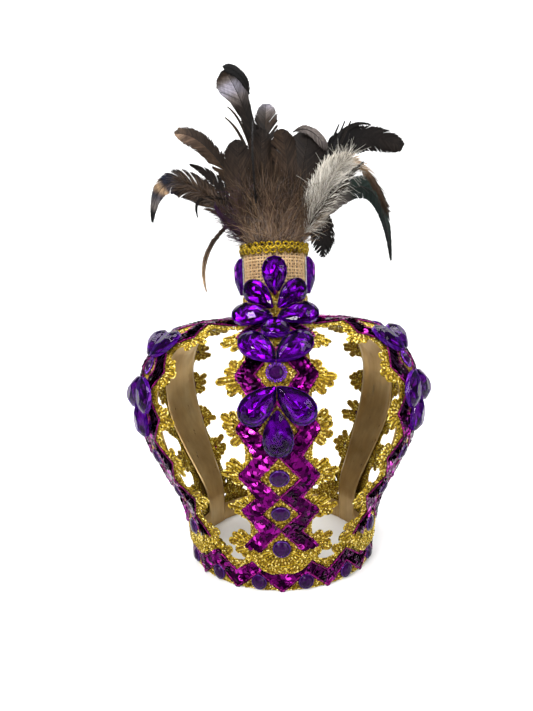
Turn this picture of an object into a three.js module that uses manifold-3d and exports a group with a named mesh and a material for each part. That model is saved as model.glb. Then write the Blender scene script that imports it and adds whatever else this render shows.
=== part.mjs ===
// A parade crown: a metal ring with six bowed strips that meet under a burlap-covered cup with a plume.
// Gold lace trim with purple sequin zigzags covers the outside, and teardrop stones sit on the trim.
// Millimetres, +Z up, front towards -Y, origin on the floor at the centre of the ring.
import * as THREE from "three";
import { mergeVertices } from "three/addons/utils/BufferGeometryUtils.js";
import { ConvexGeometry } from "three/addons/geometries/ConvexGeometry.js";
import Module from "manifold-3d";

const { degToRad, lerp, clamp } = THREE.MathUtils;

// Clearance between pieces that touch on the real crown
const GAP = 0.5;
const STONE_GAP = 0.3;

// Ring band and the disc where the strips meet
const BAND = { innerR: 88.5, outerR: 90.5, height: 20, segments: 30 };
const HUB = { radius: 36, bottom: 238.4, top: 241.6, segments: 18 };

// Bowed strips: six, evenly spaced, the first at the front
const ARCHES = ["front", "front_right", "back_right", "back", "back_left", "front_left"];
const ARCH_STEP = 360 / ARCHES.length;
const STRIP = { footR: 89.1, thickness: 2, length: 326 };
// The strip's centre line from the floor up: each row is a straight or round run with its turn in degrees
const STRIP_PATH = [
  { run: "foot", length: 25, turn: 0 },
  { run: "flare", length: 37, turn: -27.5 },
  { run: "waist", length: 55, turn: 0 },
  { run: "belly", length: 65.3, turn: 27.5 },
  { run: "shoulder", length: 99, turn: 86 },
  { run: "top", length: 60, turn: 0 },
];
const STRIP_WIDTH = [
  { along: 0, width: 28 },
  { along: 30, width: 29 },
  { along: 45, width: 31 },
  { along: 66, width: 36 },
  { along: 129, width: 51 },
  { along: 150, width: 52 },
  { along: 171, width: 51.5 },
  { along: 192, width: 49.5 },
  { along: 213, width: 46 },
  { along: 234, width: 41.5 },
  { along: 255, width: 36.5 },
  { along: 276, width: 32 },
  { along: STRIP.length, width: 28 },
];
// The strip's foot is rounded to lie on the ring, and is flat across from the end of the fade up
const FOOT_ROUND = { until: 40, gone: 88 };
// Beyond its crease the strip's margin and the trim over it bend back by this slope
const CREASE = { from: 18, slope: 0.31 };

// Gold lace trim, narrow between its diamonds and with fingers at their side points
const LACE = { thickness: 1.5, from: 24, to: 318, pitch: 42, recess: 31.5, finger: 41.5 };
const LACE_FOOT = { along: 18, half: 9 };
// At its foot the trim is lifted over the ring's own trim
const FOOT_LIFT = { height: 5.6, until: 34, gone: 76 };
const SEQUINS = { thickness: 1, pinchReach: 19, sideReach: 33.5, innerReach: 17.5, join: 0.8 };

// The ring's trim is the same trim halved lengthwise, so its repeats fit round the ring
const BAND_TRIM = { repeats: 14, laceInnerR: 92.8, hem: 0.6 };
const BAND_LACE_EDGE = [
  { along: -21, low: BAND_TRIM.hem, high: 28 },
  { along: 0, low: BAND_TRIM.hem, high: 38 },
];
const BAND_ZIGZAG = [
  { along: -21, low: BAND_TRIM.hem, high: 15.5 },
  { along: 0, low: 18.5, high: 30 },
];

// Stones
const TEARDROP = { length: 38.5, width: 27, girdle: 3, height: 9, table: 0.56, sides: 8 };
// A round stone's top is this share of its radius
const ROUND_STONE = { top: 0.8, height: 4.6, sides: 8, sunk: 0.7 };
const RING_STONE = { z: 8.6, radius: 7.2 };
const ARCH_STONES = [
  { along: 45, radius: 8.4 },
  { along: 87, radius: 8.4 },
  { along: 129, radius: 8.4 },
  { along: 214, radius: 6.8 },
];
const PETALS = [
  { place: "upper_left", along: 233.9, across: -13.9, turn: -135 },
  { place: "upper_right", along: 233.9, across: 13.9, turn: 135 },
  { place: "middle_left", along: 191.1, across: -13.9, turn: -45 },
  { place: "middle_right", along: 191.1, across: 13.9, turn: 45 },
  { place: "lower", along: 169.2, across: 0, turn: 0 },
];

// Burlap cup, its braid and the stones round it
const CUP = { outerR: 32, wall: 2, bottom: 242.1, top: 315, segments: 24 };
const BRAID = { thickness: 3.2, bottom: 307, top: 318, segments: 24 };
// Azimuth and tilt of a stone's face, radius and height of its back, and turn of its tip from upright
const CUP_STONES = [
  { place: "front", azimuth: 0, tilt: 0, radius: 32.5, z: 285.4, turn: 180 },
  { place: "right", azimuth: 90, tilt: 0, radius: 32.5, z: 287, turn: 180 },
  { place: "back", azimuth: 180, tilt: 0, radius: 32.5, z: 285.4, turn: 180 },
  { place: "left", azimuth: 270, tilt: 0, radius: 32.5, z: 287, turn: 180 },
  { place: "front_upper_left", azimuth: -27.5, tilt: 0, radius: 32.5, z: 266.8, turn: -130 },
  { place: "front_upper_right", azimuth: 27.5, tilt: 0, radius: 32.5, z: 266.8, turn: 130 },
  { place: "front_lower_left", azimuth: -14, tilt: 42, radius: 82, z: 248.1, turn: -98 },
  { place: "front_lower_right", azimuth: 14, tilt: 42, radius: 82, z: 248.1, turn: 98 },
  { place: "back_upper_left", azimuth: 152.5, tilt: 0, radius: 32.5, z: 266.8, turn: -130 },
  { place: "back_upper_right", azimuth: 207.5, tilt: 0, radius: 32.5, z: 266.8, turn: 130 },
  { place: "front_lying", azimuth: 0, tilt: 70, radius: 98.5, z: 237, turn: 0 },
];

// Plume: a head in the cup, a body of fluff, and the main feathers from root to tip over a bow point
const FLUFF = { lobes: 6, depth: 0.08, segments: 18 };
const FLUFF_PROFILE = [
  { radius: 0, z: 243 },
  { radius: 29.4, z: 243 },
  { radius: 29.4, z: 316 },
  { radius: 40, z: 328 },
  { radius: 47, z: 350 },
  { radius: 42, z: 380 },
  { radius: 24, z: 400 },
  { radius: 0, z: 408 },
];
const FEATHER = { root: 319, quill: 2.2, edge: 0.8 };
// Share of a feather's width at shares of its length
const FEATHER_OUTLINE = [
  { share: 0, spread: 0.3 },
  { share: 0.35, spread: 0.85 },
  { share: 0.74, spread: 1 },
  { share: 0.93, spread: 0.7 },
  { share: 1, spread: 0.16 },
];
const FEATHERS = [
  { name: "tall", root: [-5, 0], bow: [-15, 0, 416], tip: [-46, -6, 485], width: 28 },
  { name: "split", root: [0, 5], bow: [-10, 5, 393], tip: [-9, 4, 457], width: 22 },
  { name: "left_high", root: [-10, 4], bow: [-66, 10, 447], tip: [-105, 14, 434], width: 23 },
  { name: "left_droop", root: [-12, -4], bow: [-125, -10, 429], tip: [-125, -14, 339], width: 25 },
  { name: "left_strand", root: [-24, -8], bow: [-84, -16, 343], tip: [-73, -16, 270], width: 7 },
  { name: "centre", root: [-8, -8], bow: [-39, -16, 369], tip: [-40, -22, 417], width: 29 },
  { name: "right_curl", root: [8, -4], bow: [5, -12, 453], tip: [46, -18, 398], width: 26 },
  { name: "right_spikes", root: [10, 0], bow: [48, 0, 396], tip: [69, 2, 437], width: 12 },
  { name: "right_black", root: [10, 6], bow: [60, 14, 456], tip: [133, 18, 420], width: 28 },
  { name: "right_cream", root: [12, -8], bow: [53, -14, 444], tip: [107, -18, 344], width: 28 },
  { name: "right_sickle", root: [14, 2], bow: [95, 4, 443], tip: [116, 6, 301], width: 20 },
  { name: "right_tail", root: [18, 4], bow: [56, 8, 366], tip: [48, 10, 305], width: 25 },
  { name: "back_left", root: [-8, 10], bow: [-30, 62, 430], tip: [-50, 92, 398], width: 28 },
  { name: "back_middle", root: [0, 12], bow: [6, 50, 452], tip: [12, 82, 440], width: 30 },
  { name: "back_right", root: [8, 10], bow: [42, 60, 420], tip: [66, 90, 372], width: 28 },
];

const wasm = await Module();
wasm.setup();

// A closed geometry as a solid for joining and cutting
function toSolid(geometry) {
  const bare = geometry.clone();
  bare.deleteAttribute("normal");
  bare.deleteAttribute("uv");
  const merged = mergeVertices(bare, 1e-4);
  const vertProperties = new Float32Array(merged.attributes.position.array);
  const triVerts = new Uint32Array(merged.index.array);
  return new wasm.Manifold(new wasm.Mesh({ numProp: 3, vertProperties, triVerts }));
}

function toGeometry(solid) {
  const mesh = solid.getMesh();
  const geometry = new THREE.BufferGeometry();
  geometry.setAttribute("position", new THREE.BufferAttribute(mesh.vertProperties, 3));
  geometry.setIndex(new THREE.BufferAttribute(mesh.triVerts, 1));
  geometry.computeVertexNormals();
  return geometry;
}

function joined(geometries) {
  return toGeometry(geometries.map(toSolid).reduce((whole, piece) => whole.add(piece)));
}

// A sheet of columns by rows of cells with two layers of points, closed round its rim
// Where leans(row) holds, that row's cells are split along the other diagonal
function bentSheet(columns, rows, place, leans = () => false) {
  const points = [];
  for (let layer = 0; layer < 2; layer++) {
    for (let row = 0; row <= rows; row++) {
      for (let column = 0; column <= columns; column++) {
        points.push(place(column, row, layer));
      }
    }
  }
  const index = [];
  const at = (column, row, layer) => (layer * (rows + 1) + row) * (columns + 1) + column;
  const quad = (a, b, c, d) => index.push(a, b, c, a, c, d);
  for (let row = 0; row < rows; row++) {
    for (let column = 0; column < columns; column++) {
      const corners = [0, 1].map((layer) => [
        at(column, row, layer),
        at(column + 1, row, layer),
        at(column + 1, row + 1, layer),
        at(column, row + 1, layer),
      ]);
      const [under, over] = leans(row) ? corners.map(([first, ...rest]) => [...rest, first]) : corners;
      quad(...over);
      quad(under[2], under[1], under[0], under[3]);
    }
    quad(at(0, row, 0), at(0, row, 1), at(0, row + 1, 1), at(0, row + 1, 0));
    quad(at(columns, row, 1), at(columns, row, 0), at(columns, row + 1, 0), at(columns, row + 1, 1));
  }
  for (let column = 0; column < columns; column++) {
    quad(at(column, 0, 0), at(column + 1, 0, 0), at(column + 1, 0, 1), at(column, 0, 1));
    quad(at(column, rows, 1), at(column + 1, rows, 1), at(column + 1, rows, 0), at(column, rows, 0));
  }
  return new THREE.BufferGeometry().setFromPoints(points).setIndex(index);
}

// A ring wall whose lower and upper edge follow a list of stations round the ring
function ringWall(innerR, outerR, stations) {
  const corners = [
    [innerR, 0],
    [outerR, 0],
    [outerR, 1],
    [innerR, 1],
    [innerR, 0],
  ].map(([r, level]) => new THREE.Vector2(r, level));
  const wall = new THREE.LatheGeometry(corners, stations.length);
  const position = wall.attributes.position;
  const turn = 2 * Math.PI;
  for (let v = 0; v < position.count; v++) {
    const radius = Math.hypot(position.getX(v), position.getZ(v));
    const share = (Math.atan2(position.getX(v), position.getZ(v)) + turn) / turn;
    const { azimuth, low, high } = stations[Math.round(share * stations.length) % stations.length];
    const z = position.getY(v) > 0.5 ? high : low;
    position.setXYZ(v, radius * Math.sin(azimuth), -radius * Math.cos(azimuth), z);
  }
  return wall;
}

// A solid of revolution about Z from rows of radius and z
function revolved(profile, segments) {
  const points = profile.map(({ radius, z }) => new THREE.Vector2(radius, z));
  return new THREE.LatheGeometry(points, segments).rotateX(Math.PI / 2);
}

// Radius, height and heading of the strip's centre line at a length along it
function pathAt(along) {
  let r = STRIP.footR;
  let z = 0;
  let heading = Math.PI / 2;
  let left = along;
  for (const { length, turn } of STRIP_PATH) {
    const run = Math.min(left, length);
    const bend = (degToRad(turn) * run) / length;
    const chord = bend === 0 ? run : ((2 * run) / bend) * Math.sin(bend / 2);
    r += chord * Math.cos(heading + bend / 2);
    z += chord * Math.sin(heading + bend / 2);
    heading += bend;
    left -= run;
  }
  return { r, z, heading };
}

// One up to a length along the strip, then falling to nought
function fade(along, { until, gone }) {
  return clamp((gone - along) / (gone - until), 0, 1);
}

// A point of the front arch: along the strip, across it, and out from its centre surface
function archPoint(along, across, out) {
  const { r, z, heading } = pathAt(along);
  const height = out - CREASE.slope * Math.max(Math.abs(across) - CREASE.from, 0);
  return new THREE.Vector3(across, -(r + Math.sin(heading) * height), z - Math.cos(heading) * height);
}

// A point of the trim, out from the underside of the lace
function trimPoint(along, across, out) {
  const lift = FOOT_LIFT.height * fade(along, FOOT_LIFT);
  return archPoint(along, across, STRIP.thickness / 2 + GAP + lift + out);
}

// A point of the strip, bent round the ring at its foot
function stripPoint(along, across, out) {
  const point = archPoint(along, across, out);
  const sagitta = -point.y - Math.sqrt(point.y ** 2 - across ** 2);
  point.y += sagitta * fade(along, FOOT_ROUND);
  return point;
}

// Half the room between neighbouring arches at a length along the strip
function sectorReach(along) {
  return pathAt(along).r * Math.tan(degToRad(ARCH_STEP / 2)) - GAP;
}

// Columns of a strip or lace section: its two edges and its two creases
function sectionAcross(column, half) {
  const crease = Math.min(CREASE.from, 0.8 * half);
  return [-half, -crease, crease, half][column];
}

function stripGeometry() {
  return bentSheet(3, STRIP_WIDTH.length - 1, (column, row, layer) => {
    const { along, width } = STRIP_WIDTH[row];
    return stripPoint(along, sectionAcross(column, width / 2), (layer - 0.5) * STRIP.thickness);
  });
}

function frameGeometry() {
  const band = [];
  for (let i = 0; i < BAND.segments; i++) {
    band.push({ azimuth: (2 * Math.PI * (i + 0.5)) / BAND.segments, low: 0, high: BAND.height });
  }
  const hub = new THREE.CylinderGeometry(HUB.radius, HUB.radius, HUB.top - HUB.bottom, HUB.segments);
  hub.rotateX(Math.PI / 2).translate(0, 0, (HUB.top + HUB.bottom) / 2);
  const strips = ARCHES.map((_, i) => stripGeometry().rotateZ(degToRad(i * ARCH_STEP)));
  return joined([ringWall(BAND.innerR, BAND.outerR, band), hub, ...strips]);
}

// A round stone that stands on the lace, with its foot sunk into it
function roundStone(radius) {
  const { top, height, sides, sunk } = ROUND_STONE;
  const stone = new THREE.CylinderGeometry(top * radius, radius, height + sunk, sides);
  return stone.rotateX(Math.PI / 2).translate(0, 0, (height - sunk) / 2);
}

// A turned and placed copy of the frame of a point: x across, y along, z out
function frameAt(origin, along, out) {
  const across = new THREE.Vector3().crossVectors(along, out);
  return new THREE.Matrix4().makeBasis(across, along, out).setPosition(origin);
}

function archFrame(along, across, out) {
  const { heading } = pathAt(along);
  const up = new THREE.Vector3(0, -Math.cos(heading), Math.sin(heading));
  const normal = new THREE.Vector3(0, -Math.sin(heading), -Math.cos(heading));
  return frameAt(trimPoint(along, across, out), up, normal);
}

// Rows of the arch trim, in turn between two diamonds and at a diamond's side point
function trimRows() {
  const rows = [];
  for (let along = LACE.from; along <= LACE.to; along += LACE.pitch / 2) {
    rows.push({ along, side: rows.length % 2 });
  }
  return rows;
}

function laceGeometry() {
  const rows = trimRows().map(({ along, side }) => ({
    along,
    half: Math.min(lerp(LACE.recess, LACE.finger, side), sectorReach(along)),
  }));
  rows.unshift(LACE_FOOT);
  const sheet = bentSheet(3, rows.length - 1, (column, row, layer) => {
    const { along, half } = rows[row];
    return trimPoint(along, sectionAcross(column, half), layer * LACE.thickness);
  });
  const stones = ARCH_STONES.map(({ along, radius }) =>
    roundStone(radius).applyMatrix4(archFrame(along, 0, LACE.thickness)),
  );
  return joined([sheet, ...stones]);
}

// The diamond chain as two mirrored zigzags that meet between the diamonds
// The crease is each cell's diagonal, from its inner point at a diamond's side to its outer pinch point
function sequinGeometry() {
  const base = LACE.thickness + GAP;
  const rows = trimRows()
    .slice(1)
    .map(({ along, side }) => ({
      along,
      inner: lerp(-SEQUINS.join, SEQUINS.innerReach, side),
      outer: Math.min(lerp(SEQUINS.pinchReach, SEQUINS.sideReach, side), sectorReach(along)),
    }));
  const zigzag = (sign) => {
    const place = (column, row, layer) => {
      const { along, inner, outer } = rows[row];
      const reach = column === (sign > 0 ? 0 : 1) ? inner : outer;
      return trimPoint(along, sign * reach, base + layer * SEQUINS.thickness);
    };
    return bentSheet(1, rows.length - 1, place, (row) => row % 2 === (sign > 0 ? 1 : 0));
  };
  return joined([zigzag(1), zigzag(-1)]);
}

// A teardrop stone with a flat back, a girdle, eight crown facets and a table, its tip towards +Y
function teardropGeometry() {
  const { length, width, girdle, height, table, sides } = TEARDROP;
  const radius = width / 2;
  const centreY = radius - length / 2;
  const tangent = Math.asin(radius / (length - radius));
  const outline = [new THREE.Vector2(0, length / 2)];
  const arc = Math.PI + 2 * tangent;
  for (let i = 0; i < sides - 1; i++) {
    const angle = tangent - (arc * i) / (sides - 2);
    outline.push(new THREE.Vector2(radius * Math.cos(angle), centreY + radius * Math.sin(angle)));
  }
  const levels = [
    { z: 0, scale: 1 },
    { z: girdle, scale: 1 },
    { z: height, scale: table },
  ];
  const points = levels.flatMap(({ z, scale }) =>
    outline.map(({ x, y }) => new THREE.Vector3(x * scale, centreY + (y - centreY) * scale, z)),
  );
  return new ConvexGeometry(points);
}

function petalGeometry({ along, across, turn }) {
  const seat = LACE.thickness + GAP + SEQUINS.thickness + STONE_GAP;
  return teardropGeometry().rotateZ(degToRad(turn)).applyMatrix4(archFrame(along, across, seat));
}

function cupStoneGeometry({ azimuth, tilt, radius, z, turn }) {
  const lean = degToRad(tilt);
  const up = new THREE.Vector3(0, Math.sin(lean), Math.cos(lean));
  const normal = new THREE.Vector3(0, -Math.cos(lean), Math.sin(lean));
  const place = frameAt(new THREE.Vector3(0, -radius, z), up, normal);
  return teardropGeometry().rotateZ(degToRad(turn)).applyMatrix4(place).rotateZ(degToRad(azimuth));
}

// Stations round the ring, one set of rows for each repeat of its trim, with a low point at the front
function ringStations(rows) {
  const step = (2 * Math.PI) / BAND_TRIM.repeats;
  const stations = [];
  for (let i = 0; i < BAND_TRIM.repeats; i++) {
    for (const { along, low, high } of rows) {
      stations.push({ azimuth: step * (i + 0.5 + along / LACE.pitch), low, high });
    }
  }
  return stations;
}

function bandLaceGeometry() {
  const outerR = BAND_TRIM.laceInnerR + LACE.thickness;
  const wall = ringWall(BAND_TRIM.laceInnerR, outerR, ringStations(BAND_LACE_EDGE));
  const place = frameAt(
    new THREE.Vector3(0, -outerR, RING_STONE.z),
    new THREE.Vector3(0, 0, 1),
    new THREE.Vector3(0, -1, 0),
  );
  const stones = [];
  for (let i = 0; i < BAND_TRIM.repeats; i++) {
    const azimuth = (2 * Math.PI * (i + 0.5)) / BAND_TRIM.repeats;
    stones.push(roundStone(RING_STONE.radius).applyMatrix4(place).rotateZ(azimuth));
  }
  return joined([wall, ...stones]);
}

function bandSequinGeometry() {
  const innerR = BAND_TRIM.laceInnerR + LACE.thickness + GAP;
  return ringWall(innerR, innerR + SEQUINS.thickness, ringStations(BAND_ZIGZAG));
}

function cupGeometry() {
  const innerR = CUP.outerR - CUP.wall;
  const profile = [
    { radius: innerR, z: CUP.bottom },
    { radius: CUP.outerR, z: CUP.bottom },
    { radius: CUP.outerR, z: CUP.top },
    { radius: innerR, z: CUP.top },
    { radius: innerR, z: CUP.bottom },
  ];
  return revolved(profile, CUP.segments);
}

// The braid is a flat ring with a groove between its two rows of loops
function braidGeometry() {
  const innerR = CUP.outerR + GAP;
  const outerR = innerR + BRAID.thickness;
  const middle = (BRAID.bottom + BRAID.top) / 2;
  const groove = 0.5 * BRAID.thickness;
  const profile = [
    { radius: innerR, z: BRAID.bottom },
    { radius: outerR, z: BRAID.bottom + 1.5 },
    { radius: outerR, z: middle - 1.5 },
    { radius: innerR + groove, z: middle },
    { radius: outerR, z: middle + 1.5 },
    { radius: outerR, z: BRAID.top - 1.5 },
    { radius: innerR, z: BRAID.top },
    { radius: innerR, z: BRAID.bottom },
  ];
  return revolved(profile, BRAID.segments);
}

// A feather: a thin vane that faces the front, thickest along its quill
function featherGeometry({ root, bow, tip, width }) {
  const points = [[...root, FEATHER.root], bow, tip].map((point) => new THREE.Vector3(...point));
  const curve = new THREE.QuadraticBezierCurve3(...points);
  const front = new THREE.Vector3(0, -1, 0);
  return bentSheet(2, FEATHER_OUTLINE.length - 1, (column, row, layer) => {
    const { share, spread } = FEATHER_OUTLINE[row];
    const tangent = curve.getTangent(share);
    const sideways = new THREE.Vector3().crossVectors(front, tangent).normalize();
    const face = new THREE.Vector3().crossVectors(sideways, tangent);
    const thick = column === 1 ? FEATHER.quill : FEATHER.edge;
    return curve
      .getPoint(share)
      .addScaledVector(sideways, 0.5 * (column - 1) * spread * width)
      .addScaledVector(face, (layer - 0.5) * thick);
  });
}

function plumeGeometry() {
  const fluff = revolved(FLUFF_PROFILE, FLUFF.segments);
  const position = fluff.attributes.position;
  for (let v = 0; v < position.count; v++) {
    const [x, y, z] = [position.getX(v), position.getY(v), position.getZ(v)];
    const swell = z > CUP.top + 4 ? 1 + FLUFF.depth * Math.cos(FLUFF.lobes * Math.atan2(y, x)) : 1;
    position.setXYZ(v, x * swell, y * swell, z);
  }
  const whole = [fluff, ...FEATHERS.map(featherGeometry)].map(toSolid).reduce((a, b) => a.add(b));
  // Voids shut in between crossing feathers are filled: only the outer surface is kept
  return toGeometry(whole.decompose().find((body) => body.volume() > 0));
}

const METAL = { color: 0x9a8255, roughness: 0.45, metalness: 0.6 };
const GOLD = { color: 0xc9a227, roughness: 0.4, metalness: 0.8 };
const PURPLE = { color: 0x8a1890, roughness: 0.25, metalness: 0.6 };
const STONE = { color: 0x4b14a8, roughness: 0.08, metalness: 0.1 };
const BURLAP = { color: 0xd7b482, roughness: 0.95, metalness: 0 };
const PLUME = { color: 0x4a3a30, roughness: 0.8, metalness: 0 };

const crown = new THREE.Group();

function add(group, name, geometry, finish) {
  const mesh = new THREE.Mesh(geometry, new THREE.MeshStandardMaterial(finish));
  mesh.name = name;
  group.add(mesh);
}

add(crown, "frame", frameGeometry(), METAL);
add(crown, "band_lace", bandLaceGeometry(), GOLD);
add(crown, "band_sequins", bandSequinGeometry(), PURPLE);
ARCHES.forEach((arch, i) => {
  const group = new THREE.Group();
  group.rotation.z = degToRad(i * ARCH_STEP);
  add(group, `lace_${arch}`, laceGeometry(), GOLD);
  add(group, `sequins_${arch}`, sequinGeometry(), PURPLE);
  for (const petal of PETALS) {
    add(group, `stone_${arch}_${petal.place}`, petalGeometry(petal), STONE);
  }
  crown.add(group);
});
add(crown, "cup", cupGeometry(), BURLAP);
add(crown, "cup_braid", braidGeometry(), GOLD);
for (const stone of CUP_STONES) {
  add(crown, `stone_cup_${stone.place}`, cupStoneGeometry(stone), STONE);
}
add(crown, "plume", plumeGeometry(), PLUME);

export default crown;
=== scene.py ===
# Looks of a parade crown: satin metal frame, gold lace with purple sequins, purple stones, burlap cup, plume.
# Shapes are worked out in millimetres, in the frame's own axes, and scaled to metres when a mesh is made.
# Along, across and out are places on a trim: along its length, across its width and out from its underside.
import math

import bpy
import numpy as np
from mathutils import Matrix, Vector


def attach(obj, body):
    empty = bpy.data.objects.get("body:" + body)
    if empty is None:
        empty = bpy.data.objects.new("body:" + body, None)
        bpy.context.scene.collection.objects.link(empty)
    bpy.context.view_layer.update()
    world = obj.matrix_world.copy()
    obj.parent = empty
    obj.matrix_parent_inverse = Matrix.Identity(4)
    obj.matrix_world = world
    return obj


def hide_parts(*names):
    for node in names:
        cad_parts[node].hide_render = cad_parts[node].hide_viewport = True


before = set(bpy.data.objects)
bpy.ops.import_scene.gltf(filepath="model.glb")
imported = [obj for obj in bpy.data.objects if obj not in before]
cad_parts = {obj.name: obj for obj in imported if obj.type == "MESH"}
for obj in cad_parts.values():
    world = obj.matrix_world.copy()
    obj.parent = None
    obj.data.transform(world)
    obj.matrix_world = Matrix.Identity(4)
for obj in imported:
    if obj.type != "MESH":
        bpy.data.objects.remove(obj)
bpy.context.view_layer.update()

MM = 0.001
chance = np.random.default_rng(11)

# Frame: ring, hub and six bowed strips, the first at the front
BAND_INNER_R, BAND_OUTER_R, BAND_HEIGHT, BAND_LIP = 88.5, 90.5, 20.0, 0.5
HUB_RADIUS, HUB_BOTTOM, HUB_TOP = 36.0, 238.4, 241.6
ARCHES = ["front", "front_right", "back_right", "back", "back_left", "front_left"]
ARCH_STEP = 360 / len(ARCHES)
STRIP_FOOT_R, STRIP_THICKNESS, STRIP_LENGTH = 89.1, 2.0, 326.0
# Runs of the strip's centre line from the floor up: length and turn in degrees
STRIP_PATH = [(25, 0), (37, -27.5), (55, 0), (65.3, 27.5), (99, 86), (60, 0)]
STRIP_ALONG = [0, 30, 45, 66, 129, 150, 171, 192, 213, 234, 255, 276, 326]
STRIP_WIDTH = [28, 29, 31, 36, 51, 52, 51.5, 49.5, 46, 41.5, 36.5, 32, 28]
# Points along the strip and across each face, and the share of its thickness that is left at its hems
STRIP_ROWS, STRIP_COLUMNS, HEM_SHARE = 72, 15, 0.45
FOOT_ROUND_UNTIL, FOOT_ROUND_GONE = 40, 88
CREASE_FROM, CREASE_SLOPE = 18.0, 0.31

# Trim on the strips: two sequin zigzags that draw a chain of diamonds, and lace fans at their side points
GAP = 0.5
LACE_THICKNESS, LACE_TO, PITCH = 1.5, 318.0, 42.0
LACE_ALONG = [18, 21, 25, 31]
LACE_HALF = [9, 16, 22, 27]
BODY_PINCH, BODY_SIDE = 26.5, 29.5
FIRST_SIDE = 45.0
FOOT_LIFT, LIFT_UNTIL, LIFT_GONE = 5.6, 34, 76
# Ribs of the lowest diamond: the cords round their ends, where they start, and their last angle
RIB_INNER, RIB_REACH, RIB_FROM, RIB_LAST = 9.3, 19.5, 10.5, 80
FAN_CENTRE, FAN_INNER, FAN_ROOM, FINGER_LEAST = 23.5, 6.0, 8, 3
# Fingers of a fan: angle from straight out in degrees, and reach from the fan's centre
FAN_FINGERS = [(-68, 15.5), (-45, 19.0), (-22, 22.0), (0, 24.0), (22, 22.0), (45, 19.0), (68, 15.5)]
FINGER_HALF = 3.2
# Steps along an edge, insets of its two cords and of the ground sheet, and how far out that sheet's faces are
EDGE_STEP, EDGE_INSETS, SHEET_INSET, SHEET_FACES = 3.0, (0.3, 1.9), 0.6, (1.0, 0.35)
# Spacings of the loose stitches that show and of those behind the edge, and how far out the latter are
SHOWN_SPACING, BEHIND_SPACING, BEHIND_OUT = 1.75, 2.4, 0.3
SEQUIN_PINCH, SEQUIN_SIDE, SEQUIN_INNER = 19.0, 33.5, 17.5
SEQUIN_OUT = LACE_THICKNESS + GAP
# Lean of the sequins in degrees and their tone, on the right and on the left half of a strip's trim; the
# right half's darker tone is painted shade
SEQUIN_LEAN, SEQUIN_TONE_AND_PAINTED_SHADE = {1: -6, -1: -20}, {1: 0.27, -1: 0.44}
BAND_LEAN, BAND_SHADE = -8, 0.38
LEAN_SPREAD, ROLL_SPREAD, SHADE_SPREAD = 7, 9, 0.32
# How far a zigzag of sequins stays inside its band, and how far the lace reaches under it
ZIGZAG_INSET, UNDERLAP = 0.7, 0.8
DISC_RADIUS, DISC_ROWS, DISC_STEP, DISC_SIDES = 3.1, 4, 2.8, 10
DISC_CUP, DISC_OUT, BACKING_OUT, CORD_OUT = 0.4, SEQUIN_OUT + 0.75, SEQUIN_OUT + 0.15, SEQUIN_OUT + 1.1

# Ring trim: the same trim halved lengthwise, with a valley at the front
BAND_REPEATS, BAND_LACE_R = 14, 92.8
BAND_LENGTH = BAND_REPEATS * PITCH
BAND_VALLEY, BAND_PEAK, BAND_HEM = 25.5, 28.5, 0.8
BAND_ZIGZAG_LOW, BAND_ZIGZAG_HIGH = (0.8, 18.5), (15.5, 30.0)
BAND_FAN_CENTRE, BAND_FAN_ROOM = 21.0, 25
RING_STONE_Z = 8.6

# Stones
TEARDROP_LENGTH, TEARDROP_WIDTH, TEARDROP_HEIGHT, GIRDLE = 38.5, 27.0, 9.0, 3.8
CRYSTAL_SIDES, TABLE_SIDES = 16, 8
# Rings of a foil cup: scale and height; the third and the fourth have teeth
FOIL_RINGS = [(0.985, GIRDLE + 0.1), (0.985, 0.3), (0.66, 1.7), (0.34, 0.5), (0.02, 1.6)]
FOIL_SIDES, FOIL_TOOTH = 12, 0.7
# Round stones of an arch: where along it, radius, and how many rims of beads
ROUND_STONES = [(45, 8.4, 0), (87, 8.4, 0), (129, 8.4, 0), (214, 6.8, 2)]
RING_STONE_RADIUS, ROUND_HEIGHT = 7.2, 4.6
# Rows of a round stone's dome and of its smooth rim: shares of its radius and of its height
DOME = [(0.86, 0.0), (0.84, 0.45), (0.66, 0.8), (0.4, 1.0), (0.0, 1.0)]
SMOOTH_RIM = [(1.0, 0.0), (1.0, 0.3), (0.95, 0.48), (0.88, 0.52), (0.82, 0.42)]
DOME_SIDES, RIM_SIDES = 14, 28
BEADS, BEAD_INSET, BEAD_STEP, BEAD_Z = 22, 0.6, 1.5, 1.9
BEAD_HALF_TURN, BEAD_HALF_RISE, BEAD_RADIUS, BEAD_GROWTH = 0.6, 0.9, 1.0, 0.2

# Burlap cup, the lace round its foot and the braid round its mouth
CUP_R, CUP_BOTTOM, CUP_TOP = 32.0, 242.1, 315.0
# The last inset places the dark sheet of painted shade inside the weave
WEAVE_PITCH, WEAVE_DEPTH, THREAD_RADIUS, WEAVE_INSET, SHADE_LINER_INSET = 3.0, 0.45, 0.86, 0.9, 1.7
CUP_LACE_TOP, CUP_FANS, CUP_FAN_CENTRE, CUP_FAN_ROOM = 14.0, 6, 11.0, 30.0
BRAID_R, BRAID_LOOPS, BRAID_ROWS = 34.4, 29, (309.8, 315.4)
LOOP_POINTS, LOOP_SIDES, LOOP_PLIES = 20, 7, 7
LOOP_HALF_WIDTH, LOOP_HALF_HEIGHT, LOOP_TILT, LOOP_RADIUS, PLY_DEPTH = 2.6, 2.2, 0.45, 1.1, 0.2
CHAIN_POINTS, CHAIN_OUT, CHAIN_RADIUS, CHAIN_RISE, CHAIN_DEPTH = 12, 0.9, 0.8, 1.3, 0.4

# Plume
FLUFF_RADIUS = np.array([0, 29.4, 29.4, 40, 47, 42, 24, 0])
FLUFF_Z = np.array([243, 243, 316, 328, 350, 380, 400, 408])
# The dark core, painted shade inside the plume: where it leaves the cup, and its share of the fluff's radius
# and height above that
SHADE_CORE_FROM, SHADE_CORE_WIDE, SHADE_CORE_HIGH = 316, 0.7, 0.8
FEATHER_ROOT_Z = 319.0


def rgb(red, green, blue):
    """A screen colour of 0 to 255 as the linear colour that shaders use"""
    screen = np.array([red, green, blue]) / 255
    return np.where(screen < 0.04045, screen / 12.92, ((screen + 0.055) / 1.055) ** 2.4)


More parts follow.
